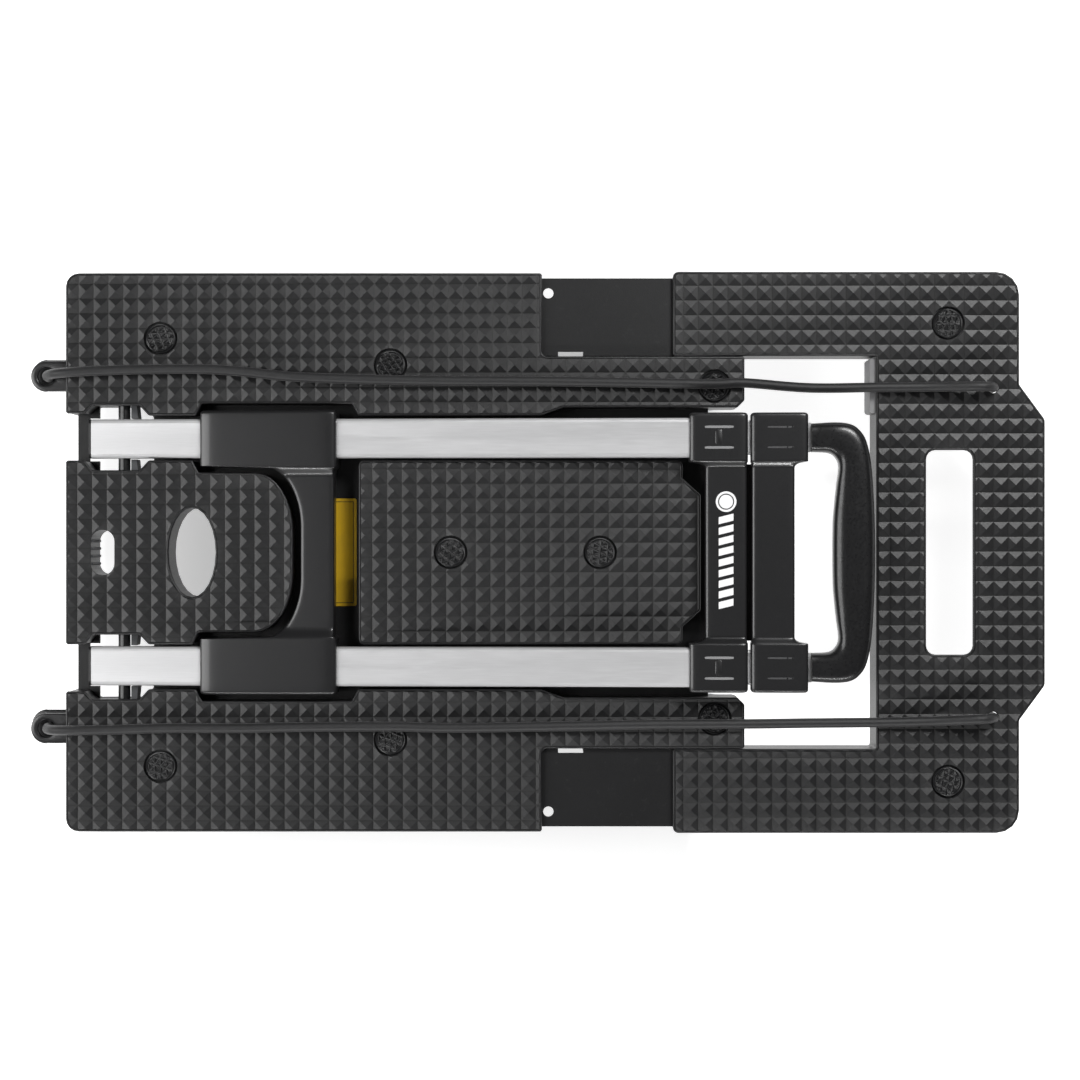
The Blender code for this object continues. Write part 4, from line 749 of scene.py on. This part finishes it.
def grip_points():
    """A bow between two edge curves: at each station a superellipse section joins the inner and the outer edge.

    The section turns fuller in the hand and flatter at the legs, where it meets the tubes."""
    outer = curve_through(GRIP_OUTER + [(x, -y) for x, y in GRIP_OUTER[::-1]], 121)[0] * MM
    inner = curve_through(GRIP_INNER + [(x, -y) for x, y in GRIP_INNER[::-1]], 121)[0] * MM
    middle, half = (outer + inner) / 2, (outer - inner) / 2
    section = superellipse(40, 3.4)
    station = np.linspace(-1, 1, 121)
    tall = sizes().grip_height / 2 * (1 - 0.14 * smooth_step(np.abs(station), 0.82, 1.0))
    flat = middle[:, None, :] + half[:, None, :] * section[None, :, 0, None]
    z = tall[:, None] * section[None, :, 1]
    return np.concatenate([flat, z[..., None]], axis=-1)


def rounded_bar(name, x0, x1, centre_y, width, tall):
    """A closed rounded bar along the handle, to cut a bore with: a superellipse section at two stations."""
    section = superellipse(48, 7.0) * (width / 2, tall / 2)
    ring = np.stack([np.stack([np.full(48, x), centre_y + section[:, 0], section[:, 1]], axis=-1) for x in (x0, x1)])
    return loose_object(name, handle_place(ring), capped(ring))


def bridge_points(y_stations, x_low, x_high, tall, power=9.0, count=64):
    """A solid carried across the handle: at each y a rounded square section from x_low to x_high, tall high."""
    section = superellipse(count, power)
    middle, half = (x_low + x_high) / 2, (x_high - x_low) / 2
    x = middle[:, None] + half[:, None] * section[None, :, 0]
    z = tall[:, None] / 2 * section[None, :, 1]
    y = np.broadcast_to(y_stations[:, None], x.shape)
    return np.stack([x, y, z], axis=-1)


def stations_across(reach, edge, *runs):
    """Stations across a bridge and their distance from its middle.

    Each run is a start, an end and a count on the positive half; a quarter circle of stations rounds the end."""
    half = np.concatenate([np.linspace(*run) for run in runs]
                          + [reach - edge + edge * np.sin(np.linspace(0, np.pi / 2, 8)[1:])])
    y = np.concatenate([-half[::-1], half[1:]])
    return y, np.abs(y)


def end_rounding(distance, reach, edge):
    """1 inside, and falling along a quarter circle to a smaller size over the last edge before reach."""
    over = np.clip((distance - (reach - edge)) / edge, 0, 1)
    return 1 - np.sqrt(np.clip(1 - over ** 2, 0, 1))


def collared_bridge(x_low, x_high, bar_low, bar_high, tall, bar_tall):
    """The middle and upper brackets: two collars and a lower bar, blended by an S-shaped fillet.

    The height goes from the bar's to the collar's by a smooth step of the distance from the middle, and the width by
    a quarter ellipse that leaves the bar's edge along it and meets the collar square."""
    reach, inner, edge = 99.05 * MM, 63.95 * MM, 2.4 * MM
    y, distance = stations_across(reach, edge, (0, inner - 8 * MM, 14), (inner - 7.5 * MM, inner + 2.5 * MM, 26),
                                  (inner + 4 * MM, reach - edge, 10))
    rise = smooth_step(distance, inner - 4.2 * MM, inner + 1.6 * MM)
    into = np.clip((distance - (inner - 4.0 * MM)) / (4.2 * MM), 0, 1)
    widen = 1 - np.sqrt(1 - into ** 2)
    shrink = end_rounding(distance, reach, edge) * edge
    low = bar_low + (x_low - bar_low) * widen + shrink
    high = bar_high + (x_high - bar_high) * widen - shrink
    height = bar_tall + (tall - bar_tall) * rise - 2 * shrink
    return bridge_points(y, low, high, height)


def sleeve_bridge():
    """The lower bracket: long flat sleeves round both tubes and a web whose rear edge is a quarter ellipse.

    The rear edge stays at the sleeve's rear for the sleeve's width, then swings forward along the ellipse."""
    reach, inner, edge = 101.4 * MM, 61.6 * MM, 2.6 * MM
    y, distance = stations_across(reach, edge, (0, inner - 6 * MM, 40), (inner - 5.5 * MM, inner + 0.5 * MM, 24),
                                  (inner + 2 * MM, reach - edge, 8))
    bar_rear, front = 128.5 * MM, 154.5 * MM
    fillet_x, fillet_y = 27.6 * MM, 43.5 * MM
    into = np.clip((distance - (inner - fillet_y)) / fillet_y, 0, 1)
    swung = bar_rear - fillet_x * (1 - np.sqrt(np.clip(1 - into ** 2, 0, 1)))
    sleeve = smooth_step(distance, inner - 1.4 * MM, inner + 0.2 * MM)
    shrink = end_rounding(distance, reach, edge) * edge
    low = swung + (56.5 * MM - swung) * sleeve + shrink
    high = np.full_like(low, front) - shrink - 2.0 * MM * (1 - smooth_step(distance, inner - 3 * MM, inner))
    height = 15 * MM + 9 * MM * smooth_step(distance, inner - 8.0 * MM, inner + 0.5 * MM) - 2 * shrink
    return bridge_points(y, low, high, height, power=11.0)


def handle_piece(name, points, finish_name, body, replaces=(), cutters=(), smooth=35):
    """A closed tube of rings in the handle's frame, with its bores cut."""
    piece = loose_object(name, handle_place(points), capped(points))
    combine(piece, list(cutters), "DIFFERENCE")
    return dress(piece, finish_name, body, replaces, smooth)


def bores(x0, x1, width, tall):
    """A bar to cut with round each tube."""
    return [rounded_bar("bore", x0, x1, sign * TUBE_Y, width, tall) for _, sign in SIDES]


def slab_grid(x0, x1, y0, y1, z_low, z_high, power=4.0, edge=0.5):
    """A thin pad with rounded outline: superellipse rings that draw in towards its top, and a closed middle."""
    outline = superellipse(40, power)
    levels = np.array([(1.0, 0.0), (1.0, 0.6), (edge, 1.0)])
    half = np.array([(x1 - x0) / 2, (y1 - y0) / 2])
    shrink = half[None, :] - (1 - levels[:, :1]) * half.min() * 0.3
    flat = outline[None, :, :] * shrink[:, None, :] + np.array([(x0 + x1) / 2, (y0 + y1) / 2])
    z = z_low + (z_high - z_low) * levels[:, 1]
    return np.concatenate([flat, np.broadcast_to(z[:, None, None], flat.shape[:2] + (1,))], axis=-1)


class CART_OT_handle(bpy.types.Operator):
    """Shape the handle's three brackets, with their fillets and moulded details, and its grip"""
    bl_idname = "cart.handle"
    bl_label = "Brackets and grip"

    def execute(self, context):
        handle_piece("lower_bridge", sleeve_bridge(), "nylon", "handle_base",
                     ["lower_bracket"], bores(50 * MM, 160 * MM, *OUTER_BORE))
        middle = collared_bridge(405.3 * MM, 446.9 * MM, 416.7 * MM, 446.1 * MM, 22 * MM, 15 * MM)
        handle_piece("middle_bridge", middle, "nylon", "handle_base", ["middle_bracket"],
                     bores(400 * MM, 442.9 * MM, *OUTER_BORE) + bores(440 * MM, 450 * MM, *MIDDLE_BORE))
        upper = collared_bridge(448.7 * MM, 489.4 * MM, 449.5 * MM, 479.9 * MM, 20 * MM, 15 * MM)
        handle_piece("upper_bridge", upper, "nylon", "handle_middle", ["upper_bracket"],
                     bores(445 * MM, 485.4 * MM, *MIDDLE_BORE) + bores(480 * MM, 492 * MM, *INNER_BORE))
        pocket = slab_grid(516.0 * MM - 0.3 * MM, 529.6 * MM, -13.3 * MM, 13.3 * MM, -12.5 * MM, 0.3 * MM, 5.0, 1.0)
        cutter = loose_object("pocket", handle_place(pocket), capped(pocket))
        handle_piece("hand_grip", grip_points(), "grip", "handle_top", ["grip"], [cutter], 50)
        self.details()
        return {"FINISHED"}

    def details(self):
        """Slits and pads on the collars, and a plain printed mark on the middle bridge."""
        for name, sign in SIDES:
            for number, offset in enumerate((-7.3, 7.3), 1):
                y = sign * TUBE_Y + offset * MM
                slit = slab_grid(416.2 * MM, 436.8 * MM, y - 0.95 * MM, y + 0.95 * MM, 10.5 * MM, 11.25 * MM, 5.0)
                handle_piece("collar_rib_%s_%d" % (name, number), slit, "grey_rubber", "handle_base")
                y = sign * TUBE_Y + offset * 0.98 * MM
                slit = slab_grid(460.5 * MM, 479.0 * MM, y - 0.7 * MM, y + 0.7 * MM, 9.5 * MM, 10.2 * MM, 5.0)
                # these ribs are painted a paler grey as a highlight along them
                handle_piece("upper_collar_rib_%s_%d" % (name, number), slit, "nylon_painted_highlight", "handle_middle")
            for number, x in enumerate((474.5, 478.2), 1):
                for edge in (-7.2, 7.2):
                    dot = slab_grid((x - 0.55) * MM, (x + 0.55) * MM, sign * TUBE_Y + (edge - 0.55) * MM,
                                    sign * TUBE_Y + (edge + 0.55) * MM, 9.9 * MM, 10.45 * MM, 2.0)
                    handle_piece("collar_dot_%s_%d_%s" % (name, number, "out" if edge > 0 else "in"), dot, "grip",
                                 "handle_middle")
            pad = slab_grid(423.5 * MM, 429.0 * MM, sign * TUBE_Y - 5.6 * MM, sign * TUBE_Y + 5.6 * MM, 10.5 * MM,
                            11.12 * MM, 5.0)
            handle_piece("collar_pad_" + name, pad, "nylon", "handle_base")
        lip = slab_grid(438.0 * MM, 453.5 * MM, -63.0 * MM, 63.0 * MM, -10.4 * MM, -8.0 * MM, 24.0, 1.0)
        handle_piece("stop_lip", lip, "nylon", "handle_base")
        build_mark()


def build_mark():
    """A plain printed mark: a disc with a ring round it and a row of equal slanted bars, on the middle bridge."""
    top = 7.5 * MM
    turn = np.linspace(0, 2 * np.pi, 48, endpoint=False)
    round_unit = np.stack([np.cos(turn), np.sin(turn)], axis=-1)
    centre = np.array([MARK_X * MM, 36.0 * MM])
    points, faces, count = [], [], 0
    for inner, outer in ((0.0, 4.9), (5.7, 7.3)):
        rings = [(inner, 0.0), (inner, INK), (outer, INK), (outer, 0.0)]
        if not inner:
            rings = [(0.01, INK), (outer, INK), (outer, 0.0), (0.01, 0.0)]
        ring = np.stack([np.concatenate([centre + round_unit * r * MM, np.full((48, 1), top + z * MM)], axis=-1)
                         for r, z in rings])
        points.append(ring.reshape(-1, 3))
        faces.extend((grid_faces(4, 48, True, True) + count).tolist())
        count += ring.shape[0] * ring.shape[1]
    bar = np.array([(-5.2, -3.6), (-5.2, 1.4), (5.2, 4.0), (5.2, -1.0)])
    for k in range(9):
        middle = np.array([MARK_X, 23.6 - 7.5 * k])
        low = np.concatenate([(bar + middle) * MM, np.full((4, 1), top)], axis=-1)
        high = low + (0, 0, INK * MM)
        points.append(np.concatenate([low, high]))
        faces.extend((np.array([(3, 2, 1, 0), (4, 5, 6, 7), (0, 1, 5, 4), (1, 2, 6, 5), (2, 3, 7, 6), (3, 0, 4, 7)])
                      + count).tolist())
        count += 8
    world = handle_place(np.concatenate(points))
    add_piece("printed_mark", world, faces, "print", "handle_base")


# ---------------------------------------------------------------- ropes and hooks
# each rope's route from the hole in the extension to the hook's ring: x, y and height above the deck's top, in mm
ROPE_ROUTES = {
    "left": [(313.3, 118.0, -9.0), (313.3, 118.0, -2.0), (312.6, 118.0, 5.0), (308.5, 118.0, 10.5),
             (301.0, 118.0, 12.6), (288.0, 118.0, 10.4), (268.0, 118.0, 6.6), (231.0, 117.8, 5.0),
             (181.0, 117.4, 5.0), (135.0, 120.9, 5.0), (111.0, 120.3, 5.0), (48.0, 121.3, 5.0), (-15.0, 122.2, 5.0),
             (-99.0, 122.8, 5.0), (-180.0, 125.0, 5.0), (-224.0, 129.1, 5.0), (-250.0, 130.7, 5.0),
             (-293.0, 130.6, 5.0), (-321.0, 129.8, 5.2), (-341.0, 128.8, 6.4), (-355.5, 127.8, 5.2),
             (-363.1, 127.0, -1.0), (-365.6, 126.6, -9.0), (-366.0, 126.5, -17.0)],
    "right": [(313.3, -118.0, -9.0), (313.3, -118.0, -2.0), (312.6, -118.0, 5.0), (308.5, -118.1, 10.5),
              (301.0, -118.4, 12.6), (288.0, -119.2, 10.4), (268.0, -120.3, 6.6), (231.0, -121.2, 5.0),
              (181.0, -121.7, 5.0), (135.0, -122.3, 5.0), (69.0, -122.7, 5.0), (6.0, -123.9, 5.0),
              (-70.0, -125.1, 5.0), (-120.0, -124.2, 5.0), (-183.0, -124.6, 5.0), (-224.0, -125.4, 5.0),
              (-276.0, -125.4, 5.0), (-321.0, -126.6, 5.2), (-341.0, -126.8, 6.4), (-355.5, -126.8, 5.2),
              (-363.1, -126.7, -1.0), (-365.6, -126.5, -9.0), (-366.0, -126.5, -17.0)],
}


def rope_points(path, radius, strands):
    """A braided tube: rings across the path, with radius + ridge x the larger of two strand waves.

    The waves |cos| of (strands x angle / 2 +- way along / strand spacing) cross as the two sets of yarns do."""
    ahead = np.gradient(path, axis=0)
    ahead /= np.linalg.norm(ahead, axis=1)[:, None]
    side = np.array([0.0, 1.0, 0.0]) - ahead * ahead[:, 1:2]
    side /= np.linalg.norm(side, axis=1)[:, None]
    up = np.cross(ahead, side)
    walked = np.concatenate([[0.0], np.cumsum(np.linalg.norm(np.diff(path, axis=0), axis=1))])
    turn = np.linspace(0, 2 * np.pi, 30, endpoint=False)
    slope = strands / (2 * radius)
    s, a = np.meshgrid(walked, turn, indexing="ij")
    wave = np.maximum(np.abs(np.cos(strands * a / 2 + slope * s)), np.abs(np.cos(strands * a / 2 - slope * s)))
    r = radius - 0.22 * MM * (1 - wave)
    return (path[:, None, :] + side[:, None, :] * (r * np.cos(a))[..., None] + up[:, None, :]
            * (r * np.sin(a))[..., None])


def hook_points(sign, radius, hole, drop, thick, aside=0.0):
    """A flat hook plate: at each angle a rounded strip from the ring's hole to a U-shaped outline.

    The outline is a circle of that radius on its outer half and runs straight back into the deck on the other."""
    ring_x, ring_y = (HOOK_X - abs(aside)) * MM, (sign * HOOK_Y + aside) * MM
    turn = np.linspace(0, 2 * np.pi, 96, endpoint=False)
    c, s = np.cos(turn), np.sin(turn)
    back = np.minimum(22.5 / np.maximum(c, 1e-6), (radius - 0.2) / np.maximum(np.abs(s), 1e-6))
    outer = np.where(c <= 0, radius, np.minimum(back, np.hypot(22.5, 9.4))) * MM
    section = superellipse(20, 4.0)
    share = (section[:, 0] + 1) / 2
    r = hole * MM + (outer - hole * MM)[:, None] * share[None, :]
    z = DECK_TOP + (thick / 2 * section[:, 1] - drop) * MM
    return np.stack([ring_x + r * c[:, None], ring_y + r * s[:, None], np.broadcast_to(z, r.shape)], axis=-1)


class CART_OT_ropes(bpy.types.Operator):
    """Stretch the two braided ropes from the extension to their hooks at the rear"""
    bl_idname = "cart.ropes"
    bl_label = "Ropes and hooks"

    def execute(self, context):
        radius = sizes().rope_diameter / 2
        for name, sign in SIDES:
            faces = grid_faces(96, 20, True, True).tolist()
            hook = add_piece("hook_" + name, hook_points(sign, 11.1, 6.1, 9.0, 4.0), faces, "nylon", "deck",
                             ["rope_hook_" + name], 40)
            add_piece("hook_washer_" + name, hook_points(sign, 11.3, 0.05, 19.4, 2.0, 1.6), faces, "grip", "deck",
                      smooth=40)
            route = np.array(ROPE_ROUTES[name]) * MM + (0, 0, DECK_TOP)
            long = curve_through(route, 400)[1]
            path = curve_through(route, int(long / (0.75 * MM)))[0]
            tube = rope_points(path, radius, sizes().braid_strands)
            rope = add_piece("braided_rope_" + name, tube, capped(tube), "braid", None,
                             ["rope_" + name], 60)
            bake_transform(rope)
        return {"FINISHED"}


# ---------------------------------------------------------------- wheels
def wheel_rings(radius, width):
    """A tyre's closed section turned about its axle: a flat tread with rounded shoulders over the hub's seat."""
    w = width / 2
    shoulder = 3.6 * MM
    arc = np.linspace(0, np.pi / 2, 8)
    top = np.stack([radius - shoulder + shoulder * np.sin(arc), w - shoulder + shoulder * np.cos(arc)], axis=-1)
    wall = np.array([(radius - 7.5 * MM, w - 1.2 * MM), (radius - 6.5 * MM, w - 0.2 * MM)])
    right = np.concatenate([wall, top])
    profile = np.concatenate([right, right[::-1] * (1, -1)])
    turn = np.linspace(0, 2 * np.pi, 72, endpoint=False)
    r, y = profile[:, 0], profile[:, 1]
    return np.stack([np.cos(turn)[:, None] * r, np.broadcast_to(y, (72, len(r))), np.sin(turn)[:, None] * r], axis=-1)


def hub_rings(radius, width):
    """A hub with five spokes: the web's depth rises to the spokes where cos of five times the angle is high."""
    w = width / 2 - 0.9 * MM
    outer = radius - 7.2 * MM
    bore, boss = 3.4 * MM, 7.0 * MM
    radii = np.concatenate([[bore], np.linspace(bore, boss, 3), np.linspace(boss + 0.6 * MM, outer - 2.4 * MM, 14),
                            [outer - 1.6 * MM, outer]])
    turn = np.linspace(0, 2 * np.pi, 100, endpoint=False)
    r, a = np.meshgrid(radii, turn, indexing="ij")
    spoke = smooth_step(np.cos(5 * a), 0.15, 0.55)
    web = smooth_step(r, boss, boss + 1.2 * MM) * (1 - smooth_step(r, outer - 2.6 * MM, outer - 1.4 * MM))
    depth = web * (1 - spoke) * 4.2 * MM + web * 0.5 * MM
    right = np.stack([r * np.cos(a), w - depth, r * np.sin(a)], axis=-1)[1:]
    left = right[::-1] * (1, -1, 1)
    return np.concatenate([right, left])


class CART_OT_wheels(bpy.types.Operator):
    """Turn the six wheels with a tyre and a spoked hub, and give the axles their nuts"""
    bl_idname = "cart.wheels"
    bl_label = "Wheels"

    def execute(self, context):
        radius, width = sizes().wheel_radius, sizes().wheel_width
        for label in ("deck_wheel", "nose_wheel", "rear_wheel"):
            for name, _ in SIDES:
                node = "%s_%s" % (label, name)
                low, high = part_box(node)
                middle = [(a + b) / 2 for a, b in zip(low, high)]
                tyre = wheel_rings(radius, width) + middle
                add_piece(node + "_tyre", tyre, grid_faces(*tyre.shape[:2], True, True).tolist(), "tyre", node,
                          [node], 40)
                hub = hub_rings(radius, width) + middle
                add_piece(node + "_hub", hub, grid_faces(*hub.shape[:2], True, True).tolist(), "deck", node,
                          smooth=40)
                body = "deck" if label == "rear_wheel" else label.replace("wheel", "caster") + "_" + name
                for end in (1, -1):
                    nut = self.nut(middle, end, width)
                    add_piece("%s_nut_%s" % (node, "outer" if end > 0 else "inner"), nut, capped(nut), "zinc", body)
        return {"FINISHED"}

    def nut(self, middle, end, width):
        """A hexagonal nut on the axle's end: six-sided rings that draw in over a chamfer."""
        turn = np.linspace(0, 2 * np.pi, 6, endpoint=False)
        leg = width / 2 + 3.4 * MM
        rings = [(5.0, 0.0), (5.6, 0.4), (5.6, 2.2), (5.0, 2.8)]
        return np.stack([np.stack([middle[0] + r * MM * np.cos(turn), np.full(6, middle[1] + end * (leg + y * MM)),
                                   middle[2] + r * MM * np.sin(turn)], axis=-1) for r, y in rings])


# ---------------------------------------------------------------- finishes of the nodes that stay
KEPT_FINISHES = {
    "deck": ["main_deck", "extension_deck", "guide_plate_left", "guide_plate_right"],
    "grip": ["pivot_pin_left", "pivot_pin_right", "tube_cap_left", "tube_cap_right"],
    "aluminium": [stage + "_tube_" + name for stage in ("outer", "middle", "inner") for name, _ in SIDES],
    "grey_rubber": ["edge_buffer", "lock_pin_left", "lock_pin_right", "grip_button"],
    "zinc": [label + part + name for label in ("deck_caster_", "nose_caster_")
             for part in ("mount_", "fork_", "axle_") for name, _ in SIDES]
            + ["rear_wheel_" + part + name for part in ("bracket_", "axle_") for name, _ in SIDES],
    "label": ["floor_label"],
}


class CART_OT_finishes(bpy.types.Operator):
    """Give every CAD node that stays in view its real finish"""
    bl_idname = "cart.finishes"
    bl_label = "Finishes"

    def execute(self, context):
        for name, nodes in KEPT_FINISHES.items():
            for node in nodes:
                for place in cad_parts[node].material_slots:
                    place.material = finish(name)
        return {"FINISHED"}


# ---------------------------------------------------------------- floor, lights and camera
def soft_box(name, place, target, size, power):
    """A rectangular light that faces a target."""
    lamp = bpy.data.lights.new(name, "AREA")
    lamp.shape = "RECTANGLE"
    lamp.size, lamp.size_y = size
    lamp.energy = power
    thing = add_object(name, lamp)
    way = Matrix.Translation(target).translation - Matrix.Translation(place).translation
    thing.matrix_world = Matrix.Translation(place) @ way.to_track_quat("-Z", "Y").to_matrix().to_4x4()


class CART_OT_stage(bpy.types.Operator):
    """Set the pale floor, the soft lights and the camera straight above the cart"""
    bl_idname = "cart.stage"
    bl_label = "Floor, lights and camera"

    def execute(self, context):
        self.floor()
        soft_box("north_soft_box", (0.75, 1.0, 1.5), (0.2, 0.0, 0.1), (0.7, 0.5), 24)
        soft_box("south_low_box", (-0.1, -1.6, 0.95), (-0.1, 0.0, 0.1), (2.4, 0.05), 24)
        soft_box("west_soft_box", (-1.5, 0.0, 1.4), (0.0, 0.0, 0.1), (0.9, 1.6), 24)
        world = context.scene.world or bpy.data.worlds.new("studio")
        context.scene.world = world
        world.use_nodes = True
        world.node_tree.nodes["Background"].inputs["Color"].default_value = (1.0, 1.0, 1.0, 1.0)
        world.node_tree.nodes["Background"].inputs["Strength"].default_value = 0.035
        context.scene.view_settings.view_transform = "Standard"
        camera = bpy.data.cameras.new("overhead_camera")
        camera.sensor_width = 36.0
        camera.lens = 73.6
        eye = add_object("overhead_camera", camera)
        eye.location = (-11.0 * MM, 8.9 * MM, DECK_TOP + 1.58)
        context.scene.camera = eye
        return {"FINISHED"}

    def floor(self):
        """A wide flat sheet of matt white paper that glows from within so that it stays pale; the glow is dimmer below
        the deck, as painted shadow of the deck.
        """
        half = 4.0
        grid = np.linspace(-half, half, 9)
        x, y = np.meshgrid(grid, grid)
        points = np.stack([x, y, np.full_like(x, -0.3 * MM)], axis=-1)
        sheet = loose_object("paper_floor", points, grid_faces(9, 9).tolist())
        material, tree, shader, place = start_finish("matt_white_paper", {"Roughness": 0.9, "Emission Strength": 1.0})
        along = add_node(tree, "SeparateXYZ", {"Vector": place}, "X")
        # the glow drops to a mid grey between x = -0.34 and 0.10 m, with soft edges: painted shadow of the deck on the
        # floor below it
        front = add_node(tree, "MapRange", {"Value": along, "From Min": 0.10, "From Max": 0.13})
        rear = add_node(tree, "MapRange", {"Value": along, "From Min": -0.36, "From Max": -0.34, "To Min": 1.0,
                                           "To Max": 0.0})
        outside_painted_shadow = add_node(tree, "Math", {0: front, 1: rear}, operation="MAXIMUM")
        glow = add_node(tree, "Mix", {0: outside_painted_shadow, 6: shaded(linear("#ADADAD")), 7: shaded(linear("#F3F3F3"))},
                        2, data_type="RGBA")
        tree.links.new(glow, shader.inputs["Emission Color"])
        fibre = add_node(tree, "TexNoise", {"Vector": place, "Scale": 1 / (3 * MM), "Detail": 3.0, "Roughness": 0.55})
        paper = add_node(tree, "Mix", {0: fibre, 6: shaded(linear("#EFEFEF")),
                                       7: shaded(linear("#F3F3F3"))}, 2, data_type="RGBA")
        tree.links.new(paper, shader.inputs["Base Color"])
        sheet.data.materials.append(material)


# ---------------------------------------------------------------- panel and registration
STEPS = ("stage", "ropes", "tread", "plugs", "uprights", "handle", "wheels", "finishes")


class CART_PT_parts(bpy.types.Panel):
    """Lists the cart's pieces and their sizes"""
    bl_idname = "CART_PT_parts"
    bl_label = "Folding platform cart"
    bl_space_type = "VIEW_3D"
    bl_region_type = "UI"
    bl_category = "Cart"

    def draw(self, context):
        for step in STEPS:
            self.layout.operator("cart." + step)
        for group in (context.scene.cart_sizes, context.scene.cart_colours):
            box = self.layout.box()
            for key in group.__annotations__:
                box.prop(group, key)


CLASSES = (CartSizes, CartColours, CART_OT_stage, CART_OT_tread, CART_OT_plugs, CART_OT_uprights, CART_OT_handle,
           CART_OT_ropes, CART_OT_wheels, CART_OT_finishes, CART_PT_parts)


def register():
    for kind in CLASSES:
        bpy.utils.register_class(kind)
    bpy.types.Scene.cart_sizes = PointerProperty(type=CartSizes)
    bpy.types.Scene.cart_colours = PointerProperty(type=CartColours)


def unregister():
    del bpy.types.Scene.cart_sizes
    del bpy.types.Scene.cart_colours
    for kind in reversed(CLASSES):
        bpy.utils.unregister_class(kind)


def main():
    """Builds everything in order."""
    register()
    for step in STEPS:
        getattr(bpy.ops.cart, step)()


if __name__ == "__main__":
    main()
